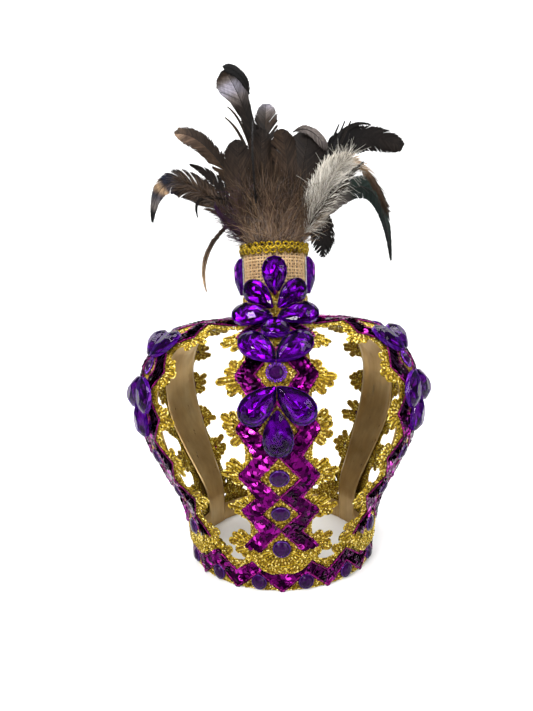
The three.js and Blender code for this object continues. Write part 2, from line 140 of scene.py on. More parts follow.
def unit(vectors):
    return vectors / np.maximum(np.linalg.norm(vectors, axis=-1, keepdims=True), 1e-9)


def fade(along, until, gone):
    return np.clip((gone - along) / (gone - until), 0, 1)


def turns(count, offset=0.0):
    """Evenly spaced angles of one full turn"""
    return 2 * math.pi * (np.arange(count) + offset) / count


def polar(r, azimuth, z):
    """Points at a radius, an angle from the front and a height"""
    r, azimuth, z = np.broadcast_arrays(np.asarray(r, float), azimuth, z)
    return np.stack([r * np.sin(azimuth), -r * np.cos(azimuth), z], axis=-1)


def turned(points, degrees):
    """Points turned about the upright axis"""
    cos, sin = math.cos(math.radians(degrees)), math.sin(math.radians(degrees))
    x, y, z = np.moveaxis(points, -1, 0)
    return np.stack([x * cos - y * sin, x * sin + y * cos, z], axis=-1)


class Soup:
    """Triangles of one piece, gathered from many small shapes"""

    def __init__(self):
        self.points, self.faces, self.tints, self.finishes, self.smooths = [], [], [], [], []
        self.count = 0

    def add(self, points, faces, tint=0.5, finish=0, smooth=True):
        """Adds shapes; finish is the number of a material, or one for each triangle.

        tint is a value or a colour for all the points, or one for each run of as many points
        """
        points = np.reshape(points, (-1, 3))
        faces = np.reshape(faces, (-1, 3))
        tint = np.clip(tint, 0, 1)
        if tint.ndim == 1 and len(tint) != 3:
            tint = tint[:, None]
        if tint.ndim == 2:
            tint = np.repeat(tint, len(points) // len(tint), axis=0)
        self.points.append(points)
        self.faces.append(faces + self.count)
        self.tints.append(np.broadcast_to(tint, (len(points), 3)))
        self.finishes.append(np.broadcast_to(finish, len(faces)))
        self.smooths.append(np.full(len(faces), smooth))
        self.count += len(points)

    def piece(self, name, materials, slot, *nodes):
        """Makes the mesh, which rides on the crown and stands for these nodes"""
        points = np.concatenate(self.points).astype(np.float32) * MM
        faces = np.concatenate(self.faces).astype(np.int32)
        mesh = bpy.data.meshes.new(name)
        mesh.vertices.add(len(points))
        mesh.vertices.foreach_set("co", points.ravel())
        mesh.loops.add(faces.size)
        mesh.loops.foreach_set("vertex_index", faces.ravel())
        mesh.polygons.add(len(faces))
        mesh.polygons.foreach_set("loop_start", np.arange(0, faces.size, 3, dtype=np.int32))
        mesh.polygons.foreach_set("material_index", np.concatenate(self.finishes).astype(np.int32))
        mesh.polygons.foreach_set("use_smooth", np.concatenate(self.smooths))
        tints = np.ones((len(points), 4), np.float32)
        tints[:, :3] = np.concatenate(self.tints)
        mesh.attributes.new("tint", "FLOAT_COLOR", "POINT").data.foreach_set("color", tints.ravel())
        mesh.update(calc_edges=True)
        for material in materials:
            mesh.materials.append(material)
        made = bpy.data.objects.new(name, mesh)
        bpy.context.scene.collection.objects.link(made)
        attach(made, "root")
        if nodes:
            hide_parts(*nodes)


def grid_faces(rows, columns, wrap_rows=False, wrap_columns=False):
    """Triangles of a grid of points, rows by columns"""
    number = np.arange(rows * columns).reshape(rows, columns)
    if wrap_rows:
        number = np.vstack([number, number[:1]])
    if wrap_columns:
        number = np.hstack([number, number[:, :1]])
    a, b, c, d = number[:-1, :-1], number[:-1, 1:], number[1:, 1:], number[1:, :-1]
    return np.concatenate([np.stack([a, b, c], -1).reshape(-1, 3), np.stack([a, c, d], -1).reshape(-1, 3)])


def copies(faces, points_each, count):
    """The same triangles for each of many shapes"""
    return (faces[None] + points_each * np.arange(count)[:, None, None]).reshape(-1, 3)


SPINDLE_POINTS = 6


def spindles(start, end, radius):
    """Four-sided spindles, thickest in the middle, as points and triangles"""
    axis = unit(end - start)
    helper = np.where(np.abs(axis[:, 2:]) < 0.9, [[0.0, 0.0, 1.0]], [[1.0, 0.0, 0.0]])
    side = unit(np.cross(axis, helper)) * np.reshape(radius, (-1, 1))
    other = np.cross(axis, side)
    middle = (start + end) / 2
    points = np.stack([start, end, middle + side, middle + other, middle - side, middle - other], axis=1)
    faces = []
    for i in range(4):
        first, second = 2 + i, 2 + (i + 1) % 4
        faces += [(1, first, second), (0, second, first)]
    return points.reshape(-1, 3), copies(np.array(faces), SPINDLE_POINTS, len(start))


def tubes(paths, radius, reference, sides, closed=False):
    """Tubes round many paths of as many points each; reference is a direction that no path runs in"""
    count, length = paths.shape[:2]
    if closed:
        ahead = np.roll(paths, -1, axis=1) - np.roll(paths, 1, axis=1)
    else:
        ahead = np.gradient(paths, axis=1)
    side = unit(np.cross(ahead, reference))
    up = np.cross(unit(ahead), side)
    angle = turns(sides)[:, None]
    reach = np.broadcast_to(radius, (count, length))[..., None, None]
    round_it = np.cos(angle) * side[..., None, :] + np.sin(angle) * up[..., None, :]
    points = paths[..., None, :] + reach * round_it
    return points.reshape(-1, 3), copies(grid_faces(length, sides, closed, True), length * sides, count)


def ribbons(paths, width, facing):
    """Flat strips along many paths; facing is the direction that their flat side looks"""
    count, length = paths.shape[:2]
    side = unit(np.cross(np.gradient(paths, axis=1), facing)) * width[..., None] / 2
    points = np.stack([paths - side, paths + side], axis=2)
    return points.reshape(-1, 3), copies(grid_faces(length, 2), 2 * length, count)


def revolved(radius, z, segments):
    """A surface of revolution about the upright axis"""
    points = polar(np.array(radius)[:, None], turns(segments), np.array(z)[:, None])
    return points.reshape(-1, 3), grid_faces(len(radius), segments, False, True)


# Places on the frame


def path_at(along):
    """Radius, height and heading of a strip's centre line"""
    left = np.asarray(along, float)
    r, z, heading = STRIP_FOOT_R, 0.0, math.pi / 2
    for length, turn in STRIP_PATH:
        run = np.clip(left, 0, length)
        bend = math.radians(turn) * run / length
        chord = run * np.sinc(bend / (2 * math.pi))
        r = r + chord * np.cos(heading + bend / 2)
        z = z + chord * np.sin(heading + bend / 2)
        heading = heading + bend
        left = left - run
    return r, z, heading


def strip_half(along):
    return np.interp(along, STRIP_ALONG, STRIP_WIDTH) / 2


def arch_point(along, across, out):
    """A point of the front arch, out from the strip's centre surface"""
    along, across, out = np.broadcast_arrays(np.asarray(along, float), across, out)
    r, z, heading = path_at(along)
    height = out - CREASE_SLOPE * np.maximum(np.abs(across) - CREASE_FROM, 0)
    return np.stack([across, -(r + np.sin(heading) * height), z - np.cos(heading) * height], axis=-1)


def trim_point(along, across, out):
    """A point of the front arch's trim, out from the underside of its lace"""
    lift = FOOT_LIFT * fade(along, LIFT_UNTIL, LIFT_GONE)
    return arch_point(along, across, STRIP_THICKNESS / 2 + GAP + lift + out)


def arch_place(azimuth):
    return lambda along, across, out: turned(trim_point(along, across, out), azimuth)


def band_place(along, across, out):
    """A point of the ring's trim: along round it from the front, across up, out from its lace's underside"""
    return polar(BAND_LACE_R + out, along * 2 * math.pi / BAND_LENGTH, across)


def cup_place(along, across, out):
    """A point of the cup's wall: along round it from the front, across up from its foot, out from it"""
    return polar(CUP_R + out, along / CUP_R, CUP_BOTTOM + across)


def sector_reach(along):
    """Half the room between neighbouring arches"""
    return path_at(along)[0] * math.tan(math.radians(ARCH_STEP / 2)) - GAP


def peak_share(along):
    """Nought at the start of each repeat of a trim, one at its middle"""
    return 1 - np.abs(along % PITCH - PITCH / 2) / (PITCH / 2)


def diamond_share(along):
    """Nought between two diamonds of an arch's trim, one at a diamond's side points"""
    return peak_share(along - FIRST_SIDE + PITCH / 2)


def body_half(along):
    """Half width of an arch's lace without its fans"""
    swell = 0.5 - 0.5 * np.cos(math.pi * diamond_share(along))
    half = BODY_PINCH + (BODY_SIDE - BODY_PINCH) * swell
    return np.minimum(np.minimum(half, np.interp(along, LACE_ALONG, LACE_HALF)), sector_reach(along) - 1)


def arch_zigzag(along):
    """Inner and outer edge of an arch's sequin zigzag"""
    share = diamond_share(along)
    outer = SEQUIN_PINCH + (SEQUIN_SIDE - SEQUIN_PINCH) * share
    return SEQUIN_INNER * share, np.minimum(outer, sector_reach(along)) - ZIGZAG_INSET


def band_edge(along):
    return BAND_VALLEY + (BAND_PEAK - BAND_VALLEY) * peak_share(along)


def band_zigzag(along):
    """Lower and upper edge of the ring's sequin zigzag"""
    peak = peak_share(along)
    low, high = BAND_ZIGZAG_LOW, BAND_ZIGZAG_HIGH
    return low[0] + (low[1] - low[0]) * peak, high[0] + (high[1] - high[0]) * peak


# Materials

# Sockets of a node that mixes colours
MIX_FIRST, MIX_SECOND, MIX_RESULT = 6, 7, 2


def node(tree, kind, inputs, **settings):
    made = tree.nodes.new("ShaderNode" + kind)
    for key, value in settings.items():
        setattr(made, key, value)
    for key, value in inputs.items():
        if isinstance(value, bpy.types.NodeSocket):
            tree.links.new(value, made.inputs[key])
        else:
            made.inputs[key].default_value = value
    return made


def ramp(tree, factor, *stops):
    """A colour ramp through stops, each a position with a screen colour or with one linear grey"""
    made = node(tree, "ValToRGB", {"Fac": factor})
    elements = made.color_ramp.elements
    while len(elements) < len(stops):
        elements.new(0.5)
    for element, (position, *colour) in zip(elements, stops):
        element.position = position
        element.color = (*(rgb(*colour) if len(colour) == 3 else colour * 3), 1)
    return made.outputs["Color"]


def mixed(tree, kind, factor, first, second):
    inputs = {"Factor": factor, MIX_FIRST: first, MIX_SECOND: second}
    return node(tree, "Mix", inputs, data_type="RGBA", blend_type=kind).outputs[MIX_RESULT]


# Sources of a value or colour: each makes its nodes in a tree and returns their socket


def tint(tree):
    return node(tree, "Attribute", {}, attribute_name="tint").outputs["Fac"]


def tint_colour(tree):
    return node(tree, "Attribute", {}, attribute_name="tint").outputs["Color"]


def noise(scale, detail=3.0, stretch=(1, 1, 1)):
    """Noise in the crown's own space, scale in waves a metre"""

    def source(tree):
        place = node(tree, "TexCoord", {}).outputs["Object"]
        mapped = node(tree, "Mapping", {"Vector": place, "Scale": stretch}).outputs["Vector"]
        return node(tree, "TexNoise", {"Vector": mapped, "Scale": scale, "Detail": detail}).outputs["Fac"]

    return source


def finish(name, hue, *stops, streaks=None, rough=None, bump=None, **values):
    """A material whose colour is the source hue, run through a ramp where there are stops.

    streaks darken it: their share, a source and stops; rough is a source and stops;
    bump is a source, its strength and its depth; values are constants of the shader's sockets
    """
    made = bpy.data.materials.new(name)
    made.use_nodes = True
    tree = made.node_tree
    shader = tree.nodes["Principled BSDF"]
    for key, value in values.items():
        shader.inputs[key.replace("_", " ").title().replace("Ior", "IOR")].default_value = value
    colour = hue(tree)
    if stops:
        colour = ramp(tree, colour, *stops)
    if streaks:
        share, source, *greys = streaks
        colour = mixed(tree, "MULTIPLY", share, colour, ramp(tree, source(tree), *greys))
    tree.links.new(colour, shader.inputs["Base Color"])
    if rough:
        source, *greys = rough
        tree.links.new(ramp(tree, source(tree), *greys), shader.inputs["Roughness"])
    if bump:
        source, strength, depth = bump
        bumped = node(tree, "Bump", {"Height": source(tree), "Strength": strength, "Distance": depth * MM})
        tree.links.new(bumped.outputs["Normal"], shader.inputs["Normal"])
    return made


def gold_thread():
    shades = (0.0, 68, 50, 6), (0.4, 155, 127, 28), (0.75, 205, 180, 66), (1.0, 251, 236, 152)
    worn = noise(900), (0.3, 0.22), (0.7, 0.46)
    return finish("gold_thread", tint, *shades, rough=worn, bump=(noise(2600, 2), 0.5, 0.2), metallic=0.95)


# The lace's gold, darkened to brown: painted shade in the gaps between the stitches and under the fingers
def lace_ground_painted_shade():
    grain = noise(1100, 4)
    shades = (0.35, 52, 35, 6), (0.7, 166, 128, 34)
    return finish("lace_ground_painted_shade", grain, *shades, bump=(grain, 1.0, 0.8), metallic=0.7, roughness=0.55)


def sequin_foil():
    shades = (0.0, 24, 1, 24), (0.4, 59, 4, 55), (0.75, 97, 8, 91), (1.0, 204, 50, 188)
    worn = noise(500), (0.3, 0.1), (0.75, 0.3)
    return finish("sequin_foil", tint, *shades, rough=worn, bump=(noise(700, 2), 0.25, 0.2), metallic=1.0)


def purple_cord():
    shades = (0.0, 62, 4, 48), (1.0, 176, 28, 138)
    return finish("purple_cord", tint, *shades, bump=(noise(2400, 2), 0.4, 0.2), metallic=0.85, roughness=0.3)


def sequin_backing():
    weave = noise(1500, 2)
    shades = (0.3, 24, 2, 30), (0.75, 74, 6, 84)
    return finish("sequin_backing", weave, *shades, bump=(weave, 0.6, 0.4), roughness=0.75)


def stone_crystal():
    clear = {"transmission_weight": 1.0, "ior": 1.18, "roughness": 0.0, "specular_ior_level": 1.0}
    return finish("stone_crystal", noise(60, 2), (0.3, 168, 68, 206), (0.7, 190, 86, 222), **clear)


def stone_foil():
    shades = (0.0, 36, 2, 52), (0.5, 78, 10, 104), (0.85, 100, 20, 138), (1.0, 140, 48, 188)
    return finish("stone_foil", tint, *shades, rough=(noise(300, 2), (0.3, 0.09), (0.7, 0.24)), metallic=1.0)


def stone_side():
    return finish("stone_side", noise(300, 2), (0.3, 60, 25, 98), (0.7, 90, 40, 138), roughness=0.2)


def stone_cabochon():
    shades = (0.3, 17, 1, 28), (0.7, 42, 5, 57)
    return finish("stone_cabochon", noise(400, 2), *shades, roughness=0.06, specular_ior_level=0.1)


def stone_rim():
    shades = (0.0, 56, 18, 90), (1.0, 138, 60, 208)
    return finish("stone_rim", tint, *shades, bump=(noise(1800, 2), 0.3, 0.2), metallic=0.75, roughness=0.25)


def satin_metal():
    brushed = noise(240, 4, (1, 1, 0.08))
    return finish(
        "satin_metal", noise(22), (0.3, 150, 122, 76), (0.55, 178, 150, 102), (0.8, 194, 172, 128),
        streaks=(0.6, brushed, (0.3, 0.72), (0.7, 1.0)), rough=(brushed, (0.25, 0.26), (0.8, 0.42)),
        bump=(brushed, 0.12, 0.3), metallic=0.8,
    )


def burlap_thread():
    fibre = noise(1300, 4)
    return finish(
        "burlap_thread", tint, (0.0, 146, 112, 70), (1.0, 206, 173, 124),
        streaks=(0.7, fibre, (0.28, 0.5), (0.62, 1.0)), bump=(fibre, 0.8, 0.3),
        roughness=0.9, sheen_weight=0.25,
    )


def burlap_shade():
    return finish("burlap_shade", noise(700), (0.3, 52, 38, 26), (0.7, 104, 80, 56), roughness=0.95)


def feather_vane():
    streaks = 0.8, noise(420, 4, (1, 1, 0.35)), (0.28, 0.55), (0.7, 1.25)
    return finish("feather_vane", tint_colour, streaks=streaks, roughness=0.5, specular_ior_level=0.07)


def feather_down():
    streaks = 0.8, noise(160, 4), (0.3, 0.6), (0.7, 1.2)
    return finish("feather_down", tint_colour, streaks=streaks, roughness=0.8, specular_ior_level=0.06)


# Frame


def strip_shape():
    """The front strip: a closed bent sheet whose hemmed edges are rounded"""
    along = np.linspace(0, STRIP_LENGTH, STRIP_ROWS)
    # Round its section: from the left hem over the outside to the right hem and back over the inside
    share = np.concatenate([np.linspace(-1, 1, STRIP_COLUMNS), np.linspace(1, -1, STRIP_COLUMNS)])
    face = np.repeat([1.0, -1.0], STRIP_COLUMNS) * np.where(np.abs(share) == 1, HEM_SHARE, 1)
    points = arch_point(along[:, None], strip_half(along)[:, None] * share, face * STRIP_THICKNESS / 2)
    x, y = points[..., 0], points[..., 1]
    sagitta = -y - np.sqrt(np.maximum(y**2 - x**2, 0))
    points[..., 1] += sagitta * fade(along, FOOT_ROUND_UNTIL, FOOT_ROUND_GONE)[:, None]
    return points, grid_faces(len(along), len(share), False, True)


def build_frame(metal):
    soup = Soup()
    points, faces = strip_shape()
    for i in range(len(ARCHES)):
        soup.add(turned(points, i * ARCH_STEP), faces)
    inner, outer, top, lip = BAND_INNER_R, BAND_OUTER_R, BAND_HEIGHT, BAND_LIP
    ring_r = [inner, inner + lip, outer - lip, outer, outer, outer - lip, inner + lip, inner, inner]
    ring_z = [lip, 0, 0, lip, top - lip, top, top, top - lip, lip]
    soup.add(*revolved(ring_r, ring_z, 160))
    soup.add(*revolved([0, HUB_RADIUS, HUB_RADIUS, 0], [HUB_BOTTOM, HUB_BOTTOM, HUB_TOP, HUB_TOP], 72))
    soup.piece("frame_metal", [metal], "strip_metal", "frame")


# Lace


class Stitches:
    """Slanting stitches of thread on a trim, each a spindle laid between two places"""

    def __init__(self):
        self.rows, self.pads = [], []

    def lay(self, centre, angle, lift, length, radius):
        parts = [np.broadcast_to(part, len(centre)) for part in (angle, lift, length, radius)]
        self.rows.append(np.column_stack([centre, *parts]))

    def cord(self, path, lift, step=1.3, slant=0.5, length=2.6, radius=0.75):
        """A twisted cord along a path of (along, across) places"""
        path = np.asarray(path, float)
        reach = np.concatenate([[0], np.cumsum(np.linalg.norm(np.diff(path, axis=0), axis=1))])
        at = np.arange(0.5 * step, reach[-1], step)

        def place(where):
            return np.column_stack([np.interp(where, reach, path[:, 0]), np.interp(where, reach, path[:, 1])])

        ahead = place(at + 0.2) - place(at - 0.2)
        wander = chance.normal(0, 0.12, len(at))
        angle = np.arctan2(ahead[:, 1], ahead[:, 0]) + slant + wander
        self.lay(place(at), angle, lift + chance.normal(0, 0.08, len(at)), length, radius)

    def edge(self, along, across, way=1):
        """The two cords inside an edge of the lace"""
        for inset in EDGE_INSETS:
            self.cord(np.column_stack([along, way * (across - inset)]), LACE_THICKNESS / 2)

    def fill(self, along, across, wanted, lift, spacing, length=2.3, radius=0.85):
        """Stitches at random angles over the part of a box of along and across where wanted() holds"""
        a, c = np.meshgrid(np.arange(*along, spacing), np.arange(*across, spacing * 0.87), indexing="ij")
        centre = np.stack([a, c], axis=-1).reshape(-1, 2)
        centre = centre + chance.uniform(-0.45, 0.45, centre.shape) * spacing
        centre = centre[wanted(centre[:, 0], centre[:, 1])]
        angle = chance.uniform(0, 2 * math.pi, len(centre))
        self.lay(centre, angle, lift + chance.uniform(-0.25, 0.25, len(centre)), length, radius)

    def spin(self, soup, place, finish=0, dip=0.12):
        """Adds the stitches to a soup, put in place by place(along, across, out)"""
        along, across, angle, lift, length, radius = np.concatenate(self.rows).T
        ahead, aside = 0.5 * length * np.cos(angle), 0.5 * length * np.sin(angle)
        start = place(along - ahead, across - aside, lift - dip)
        end = place(along + ahead, across + aside, lift + dip)
        soup.add(*spindles(start, end, radius), chance.normal(0.5, 0.3, len(along)), finish)
        for pad in self.pads:
            fan = [(0, i, i + 1) for i in range(1, len(pad) - 1)]
            soup.add(place(*pad.T, LACE_THICKNESS / 2), fan, finish=1)


def loop_path(centre, way, angle, begin, end, half):
    """The edge of a fan's finger: out, round its tip and back; way is +1 or -1 across"""
    tip = np.linspace(-math.pi / 2, math.pi / 2, 7)
    ahead = np.concatenate([[begin], end - half + half * np.cos(tip), [begin]])
    beside = np.concatenate([[-half], half * np.sin(tip), [half]])
    sin, cos = math.sin(math.radians(angle)), math.cos(math.radians(angle))
    along = centre[0] + ahead * sin + beside * cos
    across = centre[1] + way * (ahead * cos - beside * sin)
    return np.column_stack([along, across])


def lay_fan(stitches, centre, way, room):
    """A fan of fingers within room, each a pad with a cord round it and a rib down its middle"""
    for angle, reach in FAN_FINGERS:
        limit = (room - abs(centre[1])) / max(math.cos(math.radians(angle)), 0.4)
        end = min(reach * chance.uniform(0.74, 1.1), limit)
        if end < FAN_INNER + FINGER_LEAST:
            continue
        path = loop_path(centre, way, angle + chance.normal(0, 4.0), FAN_INNER, end, FINGER_HALF)
        stitches.pads.append(path)
        stitches.cord(path, LACE_THICKNESS / 2, step=1.5, radius=1.0)
        rib = (path[0] + path[-1]) / 2, path[len(path) // 2]
        stitches.cord(rib, LACE_THICKNESS, step=1.5, radius=0.9)


def ground_sheet(place, along, low, high, columns):
    """A thin closed sheet of lace ground between two edges, whose dark gold paints the shade between the
    stitches
    """
    share = np.concatenate([np.linspace(0, 1, columns), np.linspace(1, 0, columns)])
    low, high = (np.broadcast_to(edge, len(along))[:, None] for edge in (low, high))
    points = place(along[:, None], low + (high - low) * share, np.repeat(SHEET_FACES, columns))
    return points, grid_faces(len(along), len(share), False, True)


def lay_ribs(stitches):
    """Ribs round the lower half of the lowest diamond of an arch"""

    def path(reach, angle):
        return np.column_stack([FIRST_SIDE - reach * np.cos(angle), reach * np.sin(angle)])

    for angle in np.radians(np.arange(-RIB_LAST, RIB_LAST + 1, 10)):
        rib = path(np.array([RIB_FROM, RIB_REACH - 1]), angle)
        stitches.cord(rib, LACE_THICKNESS + 0.2, step=1.1, radius=0.9)
    for reach in (RIB_INNER, RIB_REACH):
        arc = path(reach, np.radians(np.arange(-RIB_LAST, RIB_LAST + 1, 5)))
        stitches.cord(arc, LACE_THICKNESS + 0.4, radius=1.0)


def build_arch_lace(arch, azimuth, gold, ground):
    soup, stitches, place = Soup(), Stitches(), arch_place(azimuth)
    for side in np.arange(FIRST_SIDE, LACE_TO, PITCH):
        room = sector_reach(side) - GAP
        for way in (1, -1):
            lay_fan(stitches, (side, way * min(FAN_CENTRE, room - FAN_ROOM)), way, room)
    along = np.arange(LACE_ALONG[0], LACE_TO + 1, EDGE_STEP)
    for way in (1, -1):
        stitches.edge(along, body_half(along), way)
    lay_ribs(stitches)

    def shown(along, across):
        inner, outer = arch_zigzag(along)
        reach = np.abs(across)
        bare = (reach < inner + UNDERLAP) | (reach > outer - UNDERLAP) | (along < FIRST_SIDE)
        ribbed = (along < FIRST_SIDE) & (np.hypot(along - FIRST_SIDE, across) < RIB_REACH)
        return bare & ~ribbed & (reach < body_half(along) - 1.2)

    def behind(along, across):
        reach = np.abs(across)
        return (reach > strip_half(along) - 1) & (reach < body_half(along) - 1)

    box = (LACE_ALONG[0] + 2, LACE_TO), (-BODY_SIDE, BODY_SIDE)
    stitches.fill(*box, shown, LACE_THICKNESS, SHOWN_SPACING)
    stitches.fill(*box, behind, BEHIND_OUT, BEHIND_SPACING)
    stitches.spin(soup, place)
    half = body_half(along) - SHEET_INSET
    soup.add(*ground_sheet(place, along, -half, half, 13), finish=1)
    soup.piece("gold_lace_" + arch, [gold, ground], "gold_lace", "lace_" + arch)


def build_band_lace(gold, ground):
    soup, stitches = Soup(), Stitches()
    for peak in np.arange(PITCH / 2, BAND_LENGTH, PITCH):
        lay_fan(stitches, (peak, BAND_FAN_CENTRE), 1, BAND_FAN_CENTRE + BAND_FAN_ROOM)
    along = np.arange(0, BAND_LENGTH + 1, EDGE_STEP)
    stitches.edge(along, band_edge(along))
    stitches.cord(np.column_stack([along, np.full_like(along, BAND_HEM + 0.7)]), LACE_THICKNESS)

    def shown(along, across):
        low, high = band_zigzag(along)
        return ((across < low + UNDERLAP) | (across > high - UNDERLAP)) & (across < band_edge(along) - 1)

    def behind(along, across):
        return (across > BAND_HEIGHT - 1) & (across < band_edge(along) - 1)

    box = (0, BAND_LENGTH), (BAND_HEM + 0.8, BAND_PEAK)
    stitches.fill(*box, shown, LACE_THICKNESS, SHOWN_SPACING)
    stitches.fill(*box, behind, BEHIND_OUT, BEHIND_SPACING)
    stitches.spin(soup, band_place)
    soup.add(*ground_sheet(band_place, along, BAND_HEM, band_edge(along) - SHEET_INSET, 6), finish=1)
    soup.piece("gold_lace_band", [gold, ground], "gold_lace", "band_lace")


def build_cup_lace(gold, ground):
    """Offcuts of the lace round the foot of the cup, between and under its stones"""
    soup, stitches = Soup(), Stitches()
    length = 2 * math.pi * CUP_R
    for i in range(CUP_FANS):
        lay_fan(stitches, (length * i / CUP_FANS, CUP_FAN_CENTRE), 1, CUP_FAN_ROOM)
    along = np.linspace(0, length, 80)
    stitches.cord(np.column_stack([along, np.full_like(along, CUP_LACE_TOP)]), 1.0)
    stitches.fill((0, length), (0.8, CUP_LACE_TOP), lambda along, across: across > 0, 1.2, 1.6)
    stitches.spin(soup, cup_place)
    soup.add(*ground_sheet(cup_place, along, 0.5, CUP_LACE_TOP - 0.5, 4), finish=1)
    soup.piece("gold_lace_cup", [gold, ground], "gold_lace")


# Sequins


def disc_shapes(centre, normal, ahead):
    """Cupped round sequins with a point in the middle, as points and triangles"""
    side = unit(np.cross(normal, ahead))
    ahead = np.cross(side, normal)
    angle = turns(DISC_SIDES)[:, None]
    spokes = np.cos(angle) * ahead[:, None, :] + np.sin(angle) * side[:, None, :]
    rim = centre[:, None, :] + DISC_RADIUS * spokes + DISC_CUP * normal[:, None, :]
    points = np.concatenate([rim, centre[:, None, :]], axis=1)
    faces = np.array([(DISC_SIDES, i, (i + 1) % DISC_SIDES) for i in range(DISC_SIDES)])
    return points.reshape(-1, 3), copies(faces, DISC_SIDES + 1, len(centre))


def lay_sequins(soup, place, along, across, slope, lean_by, shade):
    """Sequins at places of a trim that lean over one another along the zigzag"""
    centre = place(along, across, DISC_OUT)
    ahead = unit(place(along + 0.5, across + 0.5 * slope, DISC_OUT) - centre)
    outward = unit(place(along, across, SEQUIN_OUT + 2.0) - centre)
    lean = np.radians(chance.normal(lean_by, LEAN_SPREAD, len(along)))[:, None]
    roll = np.radians(chance.normal(0, ROLL_SPREAD, len(along)))[:, None]
    side = np.cross(outward, ahead)
    normal = unit(outward * np.cos(lean) - ahead * np.sin(lean) + side * np.sin(roll))
    soup.add(*disc_shapes(centre, normal, ahead), chance.normal(shade, SHADE_SPREAD, len(along)))


def lay_zigzag(soup, place, span, edges, way, lean_by, shade):
    """One zigzag between two edges: its sequins, their dark backing and a twisted cord on each edge"""
    share = (np.arange(DISC_ROWS) + 0.5) / DISC_ROWS
    along = np.arange(*span, DISC_STEP)[:, None] + DISC_STEP * 0.5 * (np.arange(DISC_ROWS) % 2)
    low, high = edges(along)
    low_next, high_next = edges(along + 0.5)
    across = low + (high - low) * share
    slope = (low_next + (high_next - low_next) * share - across) / 0.5
    along = along + chance.uniform(-0.4, 0.4, along.shape)
    lay_sequins(soup, place, along.ravel(), way * across.ravel(), way * slope.ravel(), lean_by, shade)

    begin, end = span
    along = np.arange(begin, end + 0.1, EDGE_STEP)[:, None]
    low, high = edges(along)
    share = np.linspace(0, 1, 6)
    points = place(along, way * (low + (high - low) * share), BACKING_OUT)
    soup.add(points, grid_faces(len(along), len(share)), finish=2)

    stitches = Stitches()
    along = np.arange(begin, end + 0.1, EDGE_STEP / 2)
    for edge in edges(along):
        stitches.cord(np.column_stack([along, way * edge]), CORD_OUT, step=1.4, radius=0.8)
    stitches.spin(soup, place, 1)


def build_arch_sequins(arch, azimuth, *materials):
    soup = Soup()
    for way in (1, -1):
        # The right half's sequins take a darker tone than the left half's: painted shade
        lean, shade = SEQUIN_LEAN[way], SEQUIN_TONE_AND_PAINTED_SHADE[way]
        lay_zigzag(soup, arch_place(azimuth), (FIRST_SIDE, LACE_TO), arch_zigzag, way, lean, shade)
    soup.piece("sequin_trim_" + arch, materials, "purple_sequins", "sequins_" + arch)


def build_band_sequins(*materials):
    soup = Soup()
    lay_zigzag(soup, band_place, (0, BAND_LENGTH), band_zigzag, 1, BAND_LEAN, BAND_SHADE)
    soup.piece("sequin_trim_band", materials, "purple_sequins", "band_sequins")


# Stones


def teardrop_ring(count, offset, scale, z):
    """Points of a teardrop outline, its tip towards +Y, scaled about the middle of its round end"""
    angle = turns(count, offset)
    x = -np.sin(angle) * np.abs(np.sin(angle / 2)) ** 0.7
    fullest = 0.9035
    x = x / fullest * TEARDROP_WIDTH / 2
    y = np.cos(angle) * TEARDROP_LENGTH / 2
    middle = TEARDROP_WIDTH / 2 - TEARDROP_LENGTH / 2
    return np.column_stack([x * scale, middle + (y - middle) * scale, np.full(count, z)])


def crystal_shape():
    """A faceted teardrop: flat back, girdle, lower and upper crown facets and a table of eight corners"""
    n, corners = CRYSTAL_SIDES, TABLE_SIDES
    rings = [
        teardrop_ring(n, 0, 1, 0.0),
        teardrop_ring(n, 0, 1, GIRDLE),
        teardrop_ring(n, 0.5, 0.78, 0.69 * TEARDROP_HEIGHT),
        teardrop_ring(corners, 0, 0.46, TEARDROP_HEIGHT),
    ]
    girdle, crown, table = n, 2 * n, 3 * n
    faces = []
    for i in range(n):
        after = (i + 1) % n
        faces += [(i, after, girdle + after), (i, girdle + after, girdle + i)]
        faces += [(girdle + i, girdle + after, crown + i), (crown + i, girdle + after, crown + after)]
        faces.append((0, after, i))
    for k in range(corners):
        first, second, third = crown + (2 * k - 1) % n, crown + 2 * k, crown + (2 * k + 1) % n
        corner, following = table + k, table + (k + 1) % corners
        faces += [(first, second, corner), (second, third, corner), (third, following, corner)]
        faces.append((table, corner, following))
    return np.concatenate(rings), np.array([face for face in faces if len(set(face)) == 3])


def foil_shape():
    """The pressed foil cup behind a stone: a wall and rings of facets that tilt in and out in turn"""
    points = [teardrop_ring(FOIL_SIDES, 0.5 * (i % 2), *ring) for i, ring in enumerate(FOIL_RINGS)]
    for ring in points[2:-1]:
        ring[:, 2] += FOIL_TOOTH * (np.arange(FOIL_SIDES) % 2)
    return np.concatenate(points), grid_faces(len(FOIL_RINGS), FOIL_SIDES, False, True)


def stone_frame(name):
    """Origin on the back, and the across, up and out directions of a stone of the frame"""
    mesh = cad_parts[name].data
    back = {}
    for polygon in mesh.polygons:
        key = tuple(round(value, 2) for value in polygon.normal)
        area, corners = back.get(key, (0, []))
        back[key] = (area + polygon.area, corners + list(polygon.vertices))
    normal, (_, corners) = max(back.items(), key=lambda entry: entry[1][0])
    points = np.array([mesh.vertices[i].co for i in set(corners)]) / MM
    out = -unit(np.array(normal))
    centre = points.mean(axis=0)
    tip = points[np.argmax(np.linalg.norm(points - centre, axis=1))]
    up = tip - centre
    up = unit(up - out * (up @ out))
    return tip - up * TEARDROP_LENGTH / 2, np.stack([np.cross(up, out), up, out])


